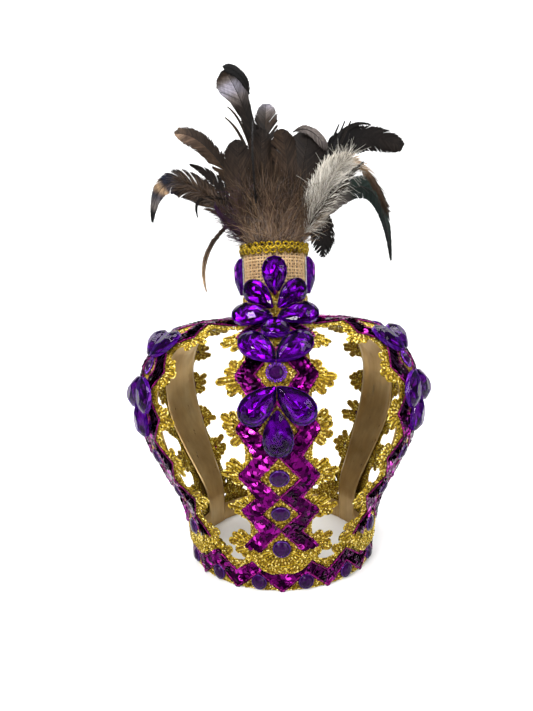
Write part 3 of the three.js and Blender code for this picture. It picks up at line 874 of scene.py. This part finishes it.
def build_teardrop(name, *materials):
    """A clear crystal over a foil cup, whose wall has a finish of its own"""
    soup = Soup()
    origin, axes = stone_frame(name)
    points, faces = crystal_shape()
    soup.add(origin + points @ axes, faces, smooth=False)
    points, faces = foil_shape()
    wall = faces.max(axis=1) < 2 * FOIL_SIDES
    tone = chance.normal(0.5, 0.3, len(points))
    soup.add(origin + points @ axes, faces, tone, np.where(wall, 2, 1), False)
    soup.piece(name.replace("stone_", "teardrop_", 1), materials, "purple_stone", name)


def add_rings(soup, origin, axes, size, rows, sides, stagger, finish):
    """A round shape through rows, every second one turned by a share of a step"""
    points = [
        polar(share * size, turns(sides, stagger * (i % 2)) + math.pi / 2, rise * ROUND_HEIGHT)
        for i, (share, rise) in enumerate(rows)
    ]
    faces = grid_faces(len(rows), sides, False, True)
    soup.add(origin + np.concatenate(points) @ axes, faces, 0.0, finish, finish == 1)


def cabochon(soup, place, along, across, size, rims=0):
    """A round stone: a low faceted dome in a smooth rim or in rims of small beads, standing on a trim"""
    origin = place(along, across, LACE_THICKNESS)
    ahead = unit(place(along + 0.5, across, LACE_THICKNESS) - origin)
    normal = unit(place(along, across, LACE_THICKNESS + 1.0) - origin)
    axes = np.stack([ahead, np.cross(normal, ahead), normal])
    add_rings(soup, origin, axes, size, DOME, DOME_SIDES, 0.5, 0)
    if not rims:
        add_rings(soup, origin, axes, size, SMOOTH_RIM, RIM_SIDES, 0, 1)
    for rim in range(rims):
        angle = turns(BEADS, 0.5 * rim)
        middle = polar(size - BEAD_INSET + BEAD_STEP * rim, angle + math.pi / 2, BEAD_Z)
        twist = polar(BEAD_HALF_TURN, angle + math.pi, BEAD_HALF_RISE)
        start, end = origin + (middle - twist) @ axes, origin + (middle + twist) @ axes
        beads = spindles(start, end, BEAD_RADIUS + BEAD_GROWTH * rim)
        soup.add(*beads, chance.uniform(0, 1, BEADS), 1)


def build_round_stones(*materials):
    for i, arch in enumerate(ARCHES):
        soup = Soup()
        for along, size, rims in ROUND_STONES:
            cabochon(soup, arch_place(i * ARCH_STEP), along, 0.0, size, rims)
        soup.piece("round_stones_" + arch, materials, "purple_stone", "lace_" + arch)
    soup = Soup()
    for i in range(BAND_REPEATS):
        cabochon(soup, band_place, PITCH * (i + 0.5), RING_STONE_Z, RING_STONE_RADIUS)
    soup.piece("round_stones_band", materials, "purple_stone", "band_lace")


# Cup and braid

UPRIGHT = [0.0, 0.0, 1.0]


def build_cup(*materials):
    """Burlap of woven threads over a dark sheet of painted shade that shows through the weave's gaps"""
    soup = Soup()
    ends = 2 * round(math.pi * CUP_R / WEAVE_PITCH)
    picks = round((CUP_TOP - CUP_BOTTOM) / WEAVE_PITCH)
    middle = CUP_R - WEAVE_INSET
    rise = (CUP_TOP - CUP_BOTTOM) / picks
    # Upright threads pass over and under at each level, each the other way from its neighbour
    level = np.linspace(0, picks, 2 * picks + 1)
    r = middle + WEAVE_DEPTH * np.cos(math.pi * (level + (np.arange(ends) % 2)[:, None]))
    wander = np.cumsum(chance.normal(0, 0.004, r.shape), axis=1) * 0.5
    turn = turns(ends)[:, None] + wander
    paths = polar(r, turn, CUP_BOTTOM + level * rise)
    soup.add(*tubes(paths, THREAD_RADIUS, polar(1, turn, 0), 4), chance.normal(0.5, 0.25, ends))
    # Level threads
    step = np.arange(2 * ends) / 2
    row = np.arange(picks)[:, None]
    r = middle - WEAVE_DEPTH * np.cos(math.pi * (step + row % 2))
    tone = chance.normal(0.5, 0.25, picks)
    radius = THREAD_RADIUS * chance.uniform(0.85, 1.1, (picks, 1))
    paths = polar(r, 2 * math.pi * step / ends, CUP_BOTTOM + (row + 0.5) * rise)
    soup.add(*tubes(paths, radius, UPRIGHT, 4, True), tone)
    # A dark sheet inside the weave: painted shade seen through the gaps between the threads
    shade_liner = CUP_R - SHADE_LINER_INSET
    soup.add(*revolved([shade_liner, shade_liner], [CUP_BOTTOM, CUP_TOP], 60), finish=1)
    soup.piece("burlap_cup", materials, "burlap", "cup")


def build_braid(gold):
    """Two rows of chunky gold loops with a chain between them"""
    soup = Soup()
    turn = turns(LOOP_POINTS)
    for row, z in enumerate(BRAID_ROWS):
        azimuth = turns(BRAID_LOOPS, 0.5 * row) + chance.normal(0, 0.012, BRAID_LOOPS)
        wide = LOOP_HALF_WIDTH * chance.uniform(0.92, 1.08, (BRAID_LOOPS, 1))
        sweep = azimuth[:, None] + wide * np.cos(turn) / BRAID_R
        paths = polar(BRAID_R + LOOP_TILT * np.sin(turn), sweep, z + LOOP_HALF_HEIGHT * np.sin(turn))
        ply = np.cos(turn * LOOP_PLIES + row)
        loops = tubes(paths, LOOP_RADIUS + PLY_DEPTH * ply, polar(1, sweep, 0), LOOP_SIDES, True)
        # Each loop's tone rises at the swells of its plies and falls at the narrow necks between them:
        # painted highlight and painted shade
        tone = chance.normal(0.2, 0.14, (BRAID_LOOPS, 1)) + 0.25 * ply
        soup.add(*loops, tone.ravel())
    sweep = turns(BRAID_LOOPS * CHAIN_POINTS)
    r = BRAID_R + CHAIN_OUT + CHAIN_DEPTH * np.cos(2 * sweep * BRAID_LOOPS)
    path = polar(r, sweep, sum(BRAID_ROWS) / 2 + CHAIN_RISE * np.sin(sweep * BRAID_LOOPS))
    soup.add(*tubes(path[None], CHAIN_RADIUS, UPRIGHT, 6, True))
    soup.piece("gold_braid_cup", [gold], "gold_braid", "cup_braid")


# Plume

BLACK, SOOT, UMBER = rgb(8, 7, 7), rgb(22, 17, 14), rgb(38, 28, 20)
BROWN, FAWN, TAN = rgb(55, 42, 33), rgb(106, 87, 71), rgb(140, 114, 86)
GREY, SILVER = rgb(84, 77, 74), rgb(124, 120, 130)
CREAM, WHITE = rgb(174, 167, 153), rgb(203, 198, 188)
GREEN_BLACK, BLUE_BLACK, PLUM = rgb(25, 33, 30), rgb(17, 21, 34), rgb(60, 38, 64)
SOOTY = [(0, SOOT), (1, BLACK)]

# Outlines: share of a feather's width at shares of its length
BLADE = [(0, 0.3), (0.35, 0.85), (0.74, 1), (0.88, 0.86), (0.96, 0.52), (1, 0.12)]
PADDLE = [(0, 0.3), (0.5, 0.36), (0.66, 0.42), (0.78, 0.66), (0.86, 0.96), (0.92, 1), (0.97, 0.75), (1, 0.25)]
ROUNDED = [(0, 0.45), (0.4, 0.9), (0.75, 1), (0.9, 0.84), (0.97, 0.5), (1, 0.15)]
SICKLE = [(0, 0.3), (0.3, 0.9), (0.5, 1), (0.72, 0.6), (0.88, 0.28), (1, 0.06)]
DOWNY_TO_THIN = [(0, 0.6), (0.25, 1), (0.45, 0.95), (0.6, 0.45), (0.72, 0.2), (1, 0.08)]
TORN = [(0, 0.4), (0.4, 0.9), (0.7, 1), (0.9, 0.85), (0.97, 0.6), (1, 0.3)]
SPIKE = [(0, 0.5), (0.5, 0.8), (0.8, 0.5), (1, 0.05)]

# Main feathers: root, bow and tip points, width, outline, colours along it, shades of its sides, looseness
FEATHERS = [
    ((-6, 0, 321), (-8, 0, 436), (-44, -6, 489), 31, PADDLE,
     [(0, UMBER), (0.5, SOOT), (0.73, SOOT), (0.8, GREY), (0.85, SILVER), (0.89, SILVER), (0.92, GREY),
      (0.96, UMBER), (1, BLACK)], (0.6, 0.9), 0.03),
    ((-15, -44, 352), (-19, -40, 404), (-17, -8, 440), 2, SPIKE, SOOTY, (1, 1), 0.0),
    ((-20, -8, 464), (-24, -9, 486), (-45, -8, 491), 9, BLADE, [(0, SOOT), (0.2, BLACK)], (1, 1), 0.02),
    ((-12, 4, 321), (-8, 4, 414), (-4, 4, 459), 26, TORN,
     [(0, UMBER), (0.7, SOOT), (0.84, UMBER), (0.92, GREY), (1, SILVER)], (1, 0.5), 0.12),
    ((-15, 0, 364), (-21, 0, 428), (-46, 2, 447), 4, SPIKE, [(0, SOOT), (1, BROWN)], (1, 1), 0.02),
    ((-14, 0, 384), (-24, 0, 443), (-43, 2, 457), 3, SPIKE, [(0, SOOT), (1, BROWN)], (1, 1), 0.02),
    ((-12, 4, 321), (-57, 10, 440), (-100, 14, 437), 20, BLADE,
     [(0, UMBER), (0.6, UMBER), (0.85, BROWN), (1, FAWN)], (0.5, 1.5), 0.16),
    ((-34, -6, 334), (-47, -8, 388), (-82, -8, 399), 15, SPIKE, [(0, UMBER), (0.5, SOOT)], (1, 1), 0.4),
    ((-16, -4, 321), (-114, -12, 431), (-121, -14, 343), 27, SICKLE,
     [(0, BROWN), (0.3, UMBER), (0.5, SOOT), (0.68, BLUE_BLACK), (0.74, TAN), (0.8, BLUE_BLACK), (0.9, GREY),
      (0.94, BLACK)], (0.9, 1.1), 0.12),
    ((-47, -12, 363), (-82, -14, 373), (-75, -14, 346), 4, SPIKE, SOOTY, (1, 1), 0.05),
    ((-41, -14, 341), (-80, -16, 312), (-69, -16, 272), 6, SPIKE,
     [(0, UMBER), (0.4, BROWN), (1, TAN)], (1, 0.8), 0.12),
    ((-24, -12, 320), (-48, -16, 338), (-58, -16, 357), 18, DOWNY_TO_THIN,
     [(0, UMBER), (1, PLUM)], (1, 1), 0.8),
    ((-12, -10, 320), (-34, -18, 366), (-32, -22, 417), 30, ROUNDED,
     [(0, FAWN), (0.3, BROWN), (0.7, UMBER), (1, SOOT)], (1, 0.85), 0.1),
    ((-12, -16, 319), (-13, -18, 370), (-8, -10, 431), 30, BLADE,
     [(0, FAWN), (0.3, BROWN), (0.6, UMBER), (1, SOOT)], (1, 0.8), 0.14),
    ((17, -4, 320), (20, -12, 394), (10, -14, 428), 27, BLADE,
     [(0, FAWN), (0.35, BROWN), (0.7, UMBER)], (0.7, 1.1), 0.1),
    ((22, -2, 320), (28, -8, 384), (38, -10, 427), 40, ROUNDED,
     [(0, BROWN), (0.4, UMBER), (0.75, SOOT)], (0.9, 1.2), 0.06),
    ((22, -16, 424), (40, -17, 433), (55, -16, 405), 9, BLADE,
     [(0, SOOT), (0.3, GREY), (0.8, GREY), (1, SOOT)], (0.8, 1.1), 0.1),
    ((27, 0, 343), (51, 0, 396), (69, 2, 436), 5, SPIKE, [(0, BLACK)], (1, 1), 0.02),
    ((29, 0, 343), (56, 0, 396), (75, 2, 439), 5, SPIKE, [(0, BLACK)], (1, 1), 0.02),
    ((32, 0, 343), (60, 0, 396), (81, 2, 439), 5, SPIKE, [(0, BLACK), (1, SOOT)], (1, 1), 0.02),
    ((12, 8, 321), (56, 14, 459), (137, 18, 416), 27, TORN,
     [(0, UMBER), (0.4, SOOT), (0.6, BLACK), (1, SOOT)], (1, 0.8), 0.13),
    ((17, 8, 321), (61, 12, 454), (103, 14, 438), 8, SPIKE, SOOTY, (1, 1), 0.05),
    ((26, -12, 318), (74, -16, 456), (114, -18, 341), 27, DOWNY_TO_THIN,
     [(0, CREAM), (0.2, WHITE), (0.5, CREAM), (0.64, TAN), (0.8, BROWN), (1, UMBER)], (1, 1), 0.6),
    ((28, -16, 320), (46, -20, 360), (74, -20, 399), 23, ROUNDED,
     [(0, BROWN), (0.26, FAWN), (0.42, CREAM), (0.7, WHITE), (1, CREAM)], (1, 0.9), 0.9),
    ((36, -22, 334), (58, -24, 362), (88, -22, 392), 12, SPIKE, [(0, BROWN), (0.5, SOOT)], (1, 0.6), 0.9),
    ((27, 2, 320), (112, 4, 439), (121, 6, 299), 23, SICKLE,
     [(0, CREAM), (0.25, GREY), (0.4, GREEN_BLACK), (0.7, GREEN_BLACK), (1, BLACK)], (0.7, 1.5), 0.05),
    ((27, 4, 320), (56, 8, 372), (51, 8, 305), 29, BLADE,
     [(0, UMBER), (0.5, SOOT), (1, BLACK)], (1, 1.2), 0.25),
    ((-8, 10, 319), (-30, 62, 430), (-50, 92, 398), 28, BLADE,
     [(0, UMBER), (0.6, BROWN), (1, SOOT)], (1, 0.8), 0.1),
    ((0, 12, 319), (6, 50, 452), (12, 82, 440), 30, BLADE,
     [(0, UMBER), (0.6, SOOT), (1, BLACK)], (0.9, 1), 0.08),
    ((8, 10, 319), (42, 60, 420), (66, 90, 372), 28, BLADE,
     [(0, UMBER), (0.5, BROWN), (1, GREY)], (1, 0.8), 0.1),
]
# Soft hairs off a quill: its root, bow and tip points, the span that they cover, colours, count and length
FLUFFS = [
    ((26, -14, 318), (74, -18, 456), (114, -18, 341), (0.1, 0.5), [WHITE, CREAM, WHITE, GREY], 2000, 24),
    ((28, -18, 320), (46, -22, 360), (74, -22, 399), (0.08, 0.85), [WHITE, CREAM, WHITE, BROWN], 1500, 24),
    ((-16, -6, 321), (-114, -14, 431), (-121, -16, 343), (0.1, 0.5), [BROWN, GREY, UMBER, FAWN], 1500, 22),
    ((-24, -12, 320), (-48, -16, 338), (-58, -16, 357), (0.0, 0.8), [PLUM, UMBER, BROWN], 700, 14),
    ((27, 2, 320), (56, 6, 372), (51, 6, 305), (0.0, 0.5), [CREAM, GREY, BROWN, UMBER], 500, 16),
]
# A feather's barbs: their spacing, angle to the quill, points along each, and how deep the vane is cupped
BARB_STEP, BARB_ANGLE, BARB_POINTS, VANE_CUP = 0.55, 34, 5, 0.2
# Partings of a vane: the least count, how many more a loose one has, each one's reach and opening
SPLITS, SPLITS_IF_LOOSE, SPLIT_REACH, SPLIT_OPEN = 3, 20, 0.015, (0.03, 0.22)
TUFTS, TUFT_STRANDS = 96, 36
# Colours of a strand by its height above the root, before those of its tip
STRAND_FOOT, TIP_FROM = [(0, FAWN), (30, BROWN)], 62
# Down: count of hairs, and where they start, from the cup's mouth up
DOWN_HAIRS, DOWN_FROM, DOWN_RISE, PLUM_SIDE_X = 7000, 316, 52, -27


def bezier(points, share):
    """Point and direction on a curve from a root, towards a bow point and to a tip"""
    root, bow, tip = (np.asarray(point, float) for point in points)
    t = np.asarray(share, float)[..., None]
    place = root * (1 - t) ** 2 + 2 * bow * t * (1 - t) + tip * t**2
    return place, unit(2 * (bow - root) * (1 - t) + 2 * (tip - bow) * t)


def colours_at(stops, share):
    shares, colours = zip(*stops)
    return np.stack([np.interp(share, shares, channel) for channel in zip(*colours)], axis=-1)


def add_barbs(soup, points, front, width, outline, stops, shade, loose, way, length):
    """The barbs down one side of a quill, which part here and there; loose barbs stray from the vane"""
    count = int(length / BARB_STEP)
    s = np.linspace(0, 1, BARB_POINTS)
    root = np.linspace(0.03, 0.995, count) + chance.uniform(-0.2, 0.2, count) / count
    stray_by = loose + 0.35 * fade(root, 0.05, 0.3)
    parted = np.zeros(count)
    for split in chance.uniform(0.3, 0.97, SPLITS + int(SPLITS_IF_LOOSE * loose)):
        away = root - split
        parted += np.sign(away) * np.exp(-np.abs(away) / SPLIT_REACH) * chance.uniform(*SPLIT_OPEN)
    rise = 0.5 * width / math.tan(math.radians(BARB_ANGLE)) / length
    rise = rise * (1 + parted + chance.normal(0, 1, count) * (0.02 + 0.3 * stray_by))
    # Barbs near the tip stay short of it
    rise = np.minimum(rise, (1.0 - root) / 1.6)
    half = 0.5 * width * np.interp(root + rise, *zip(*outline))
    half = half * (1 + chance.normal(0, 1, count) * (0.015 + 0.2 * stray_by))
    run = root[:, None] + rise[:, None] * s
    spine, heading = bezier(points, run)
    sideways = unit(np.cross(front, heading))
    face = np.cross(sideways, heading)
    reach = way * half[:, None] * s**0.85
    stray = (chance.normal(0, 1, count) * (0.25 + 6 * stray_by))[:, None] * s**1.5
    off_vane = VANE_CUP * np.abs(reach) * s + stray
    paths = spine + sideways * reach[..., None] + face * off_vane[..., None]
    broad = np.interp(s, [0, 0.7, 1], [1.1, 1.15, 0.7]) * (1 - 0.6 * np.minimum(stray_by, 1))[:, None]
    colour = colours_at(stops, run) * shade * chance.normal(1, 0.24, (count, 1, 1))
    soup.add(*ribbons(paths, broad, face), colour.reshape(-1, 3))


def build_feathers(vane):
    """Quills, each with a row of barbs down both sides"""
    soup = Soup()
    share = np.linspace(0, 1, 24)
    for *points, width, outline, stops, shades, loose in FEATHERS:
        turn = chance.uniform(-0.42, 0.42)
        front = math.sin(turn), -math.cos(turn), 0
        place, ahead = bezier(points, share)
        length = np.linalg.norm(np.diff(place, axis=0), axis=1).sum()
        thick = np.interp(share, [0, 1], [0.9, 0.15])
        soup.add(*tubes(place[None], thick, np.cross(ahead, front)[None], 5), colours_at(stops, 0.3) * 0.3)
        for way, shade in zip((-1, 1), shades):
            add_barbs(soup, points, front, width, outline, stops, shade, loose, way, length)
    soup.piece("plume_feathers", [vane], "feathers", "plume")


def add_strands(soup):
    """Tufts of long soft strands that rise from the cup's mouth and lean outwards"""
    s = np.linspace(0, 1, 6)
    for _ in range(TUFTS):
        azimuth = chance.uniform(0, 2 * math.pi) + chance.normal(0, 0.09, TUFT_STRANDS)
        inner = chance.uniform(4, 24)
        root_r = inner + chance.normal(0, 2.5, TUFT_STRANDS)
        # Outer tufts are shorter
        rise = (100 - 1.7 * inner) * chance.uniform(0.75, 1) * chance.uniform(0.6, 1, TUFT_STRANDS)
        tip_r = 0.9 * inner + chance.uniform(8, 22) + chance.normal(0, 3, TUFT_STRANDS)
        bow_r = root_r + 0.9 * (tip_r - root_r) + 4
        r = root_r[:, None] * (1 - s) ** 2 + 2 * bow_r[:, None] * s * (1 - s) + tip_r[:, None] * s**2
        turn = azimuth[:, None] + chance.normal(0, 0.12, TUFT_STRANDS)[:, None] * s**2
        z = FEATHER_ROOT_Z - 4 + rise[:, None] * s
        width = np.broadcast_to(np.interp(s, [0, 0.5, 1], [0.7, 1.1, 0.25]), r.shape)
        tip_tone = [UMBER, SOOT, BROWN][chance.integers(3)] * chance.uniform(0.8, 1.3)
        tone = colours_at([*STRAND_FOOT, (TIP_FROM, tip_tone)], z - FEATHER_ROOT_Z)
        tone = tone * chance.normal(1, 0.22, (TUFT_STRANDS, 1, 1))
        soup.add(*ribbons(polar(r, turn, z), width, polar(1, turn, 0)), tone.reshape(-1, 3))


def add_hairs(soup, start, ahead, curl, widths, facing, tone):
    """Fine hairs that bend by their curl and thin out from the first width to the second"""
    s = np.linspace(0, 1, 5)[:, None]
    paths = start[:, None] + ahead[:, None] * s + curl[:, None] * s**2
    width = np.broadcast_to(np.linspace(*widths, len(s)), paths.shape[:2])
    soup.add(*ribbons(paths, width, facing[:, None]), tone)


def add_down(soup):
    """Fine down round the feet of the feathers, plum-coloured at one side"""
    azimuth = chance.uniform(0, 2 * math.pi, DOWN_HAIRS)
    level = chance.uniform(0, 1, DOWN_HAIRS) ** 1.7
    r = np.interp(level, [0, 0.4, 1], [30, 38, 41]) * chance.uniform(0.85, 1, DOWN_HAIRS)
    start, out = polar(r, azimuth, DOWN_FROM + DOWN_RISE * level), polar(1, azimuth, 0)
    drift = chance.normal(0, 0.4, (DOWN_HAIRS, 3)) + UPRIGHT + out * 0.45
    length = chance.uniform(7, 20, DOWN_HAIRS)[:, None]
    curl = chance.normal(0, 0.34, (DOWN_HAIRS, 3)) * length
    tone = np.array([FAWN, BROWN, 0.5 * (FAWN + TAN), GREY, UMBER])[chance.integers(0, 5, DOWN_HAIRS)]
    tone = tone * np.interp(level, [0.15, 0.7], [1.5, 0.55])[:, None]
    tone[(start[:, 0] < PLUM_SIDE_X) & (chance.uniform(0, 1, DOWN_HAIRS) < 0.5)] = PLUM
    add_hairs(soup, start, unit(drift) * length, curl, (0.36, 0.08), out, tone)


def add_fluff(soup, points, span, tones, hairs, length):
    """Fine hairs that curl away from a quill on all its sides"""
    start, heading = bezier(points, chance.uniform(*span, hairs))
    facing = chance.normal(0, 1, (hairs, 3))
    reach = length * chance.uniform(0.4, 1, (hairs, 1))
    ahead = (0.7 * heading + 0.6 * unit(np.cross(heading, facing))) * reach
    curl = (chance.normal(0, 0.25, (hairs, 3)) - [0, 0, 0.15]) * reach
    tone = np.array(tones)[chance.integers(0, len(tones), hairs)] * chance.uniform(0.8, 1.1, (hairs, 1))
    add_hairs(soup, start, ahead, curl, (0.4, 0.1), facing, tone)


def build_plume_body(down):
    """The body of the plume: tufts of strands and down over a dark core of painted shade"""
    soup = Soup()
    add_strands(soup)
    add_down(soup)
    for *points, span, tones, hairs, length in FLUFFS:
        add_fluff(soup, points, span, tones, hairs, length)
    # The dark core stands in for the shade deep inside the plume: painted shade
    above = FLUFF_Z > SHADE_CORE_FROM + 1
    height = np.where(above, SHADE_CORE_FROM + SHADE_CORE_HIGH * (FLUFF_Z - SHADE_CORE_FROM), FLUFF_Z)
    soup.add(*revolved(np.where(above, SHADE_CORE_WIDE, 1) * FLUFF_RADIUS, height, 40), 0.6 * UMBER)
    soup.piece("plume_body", [down], "feathers", "plume")


# Stage

CAMERA_PLACE = Vector((3.38, -507.69, 256.41))
CAMERA_AHEAD = Vector((-0.028302, 0.994410, -0.101720))
CAMERA_ROLL, CAMERA_LENS, SENSOR = -1.758, 24.53, 36
# Soft boxes: place, where it looks, size and power; the last two light the backdrop
CROWN_MIDDLE = (0, 0, 0.22)
LIGHTS = [
    ((-0.9, -1.2, 1.5), CROWN_MIDDLE, (0.9, 0.9), 40),
    ((1.2, -0.9, 0.9), CROWN_MIDDLE, (0.8, 0.8), 15),
    ((0.1, 0.3, 1.7), CROWN_MIDDLE, (1.0, 1.0), 26),
    ((0.25, -1.3, 0.5), CROWN_MIDDLE, (0.5, 0.07), 7),
    ((-0.5, -1.1, 0.75), CROWN_MIDDLE, (0.5, 0.07), 7),
    ((-0.9, 0.4, 2.3), (-0.7, 2.0, 0.9), (1.2, 1.2), 40),
    ((0.9, 0.4, 2.3), (0.7, 2.0, 0.9), (1.2, 1.2), 40),
]
# Brightness of the surroundings against the height looked at, from level to straight up
SKY = [(0.0, 0.12), (0.3, 0.14), (0.65, 0.34), (1.0, 0.5)]
# Brightness of the pale backdrop that is seen past the floor
BACKDROP = 1.0
# The floor, which bends up into a wall behind the crown
FLOOR_HALF, FLOOR_FRONT, BEND_FROM, BEND_RADIUS, WALL_TOP = 1800.0, -1900, 1400, 600, 2400


def build_stage():
    bend = np.linspace(0, math.pi / 2, 16)
    y = np.concatenate([[FLOOR_FRONT], BEND_FROM + BEND_RADIUS * np.sin(bend), [BEND_FROM + BEND_RADIUS]])
    z = np.concatenate([[0], BEND_RADIUS - BEND_RADIUS * np.cos(bend), [WALL_TOP]])
    sides = [np.column_stack([np.full_like(y, x), y, z]) for x in (-FLOOR_HALF, FLOOR_HALF)]
    points = np.stack(sides, axis=1)
    mesh = bpy.data.meshes.new("floor")
    mesh.from_pydata((points.reshape(-1, 3) * MM).tolist(), [], grid_faces(len(y), 2).tolist())
    mesh.polygons.foreach_set("use_smooth", [True] * len(mesh.polygons))
    mesh.materials.append(finish("pale_floor", noise(3), (0.3, 0.7), (0.7, 0.74), roughness=0.9))
    floor = bpy.data.objects.new("floor", mesh)
    bpy.context.scene.collection.objects.link(floor)


def build_lights():
    for i, (place, target, size, power) in enumerate(LIGHTS):
        lamp = bpy.data.lights.new(f"soft_box_{i}", "AREA")
        lamp.shape, lamp.energy = "RECTANGLE", power
        lamp.size, lamp.size_y = size
        box = bpy.data.objects.new(lamp.name, lamp)
        box.location = place
        box.rotation_euler = (Vector(target) - Vector(place)).to_track_quat("-Z", "Y").to_euler()
        bpy.context.scene.collection.objects.link(box)
    world = bpy.data.worlds.new("studio")
    world.use_nodes = True
    tree = world.node_tree
    way = node(tree, "TexCoord", {}).outputs["Generated"]
    height = node(tree, "SeparateXYZ", {"Vector": way}).outputs["Z"]
    seen = node(tree, "LightPath", {}).outputs["Is Camera Ray"]
    glow = mixed(tree, "MIX", seen, ramp(tree, height, *SKY), (BACKDROP, BACKDROP, BACKDROP, 1))
    tree.links.new(glow, tree.nodes["Background"].inputs["Color"])
    bpy.context.scene.world = world
    bpy.context.scene.view_settings.view_transform = "Standard"


def build_camera():
    ahead = CAMERA_AHEAD.normalized()
    level = ahead.cross(Vector((0, 0, 1))).normalized()
    upright = level.cross(ahead)
    roll = math.radians(CAMERA_ROLL)
    right = level * math.cos(roll) + upright * math.sin(roll)
    up = upright * math.cos(roll) - level * math.sin(roll)
    lens = bpy.data.cameras.new("camera")
    lens.lens, lens.sensor_width = CAMERA_LENS, SENSOR
    lens.clip_start, lens.clip_end = 0.01, 50
    camera = bpy.data.objects.new("camera", lens)
    turn = Matrix((right, up, -ahead)).transposed().to_4x4()
    camera.matrix_world = Matrix.Translation(CAMERA_PLACE * MM) @ turn
    bpy.context.scene.collection.objects.link(camera)
    bpy.context.scene.camera = camera


def build_crown():
    gold, ground = gold_thread(), lace_ground_painted_shade()
    sequins = sequin_foil(), purple_cord(), sequin_backing()
    build_frame(satin_metal())
    for i, arch in enumerate(ARCHES):
        build_arch_lace(arch, i * ARCH_STEP, gold, ground)
        build_arch_sequins(arch, i * ARCH_STEP, *sequins)
    build_band_lace(gold, ground)
    build_band_sequins(*sequins)
    teardrop = stone_crystal(), stone_foil(), stone_side()
    for name in sorted(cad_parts):
        if name.startswith("stone_"):
            build_teardrop(name, *teardrop)
    build_round_stones(stone_cabochon(), stone_rim())
    build_cup(burlap_thread(), burlap_shade())
    build_cup_lace(gold, ground)
    build_braid(gold)
    build_feathers(feather_vane())
    build_plume_body(feather_down())


build_crown()
build_stage()
build_lights()
build_camera()
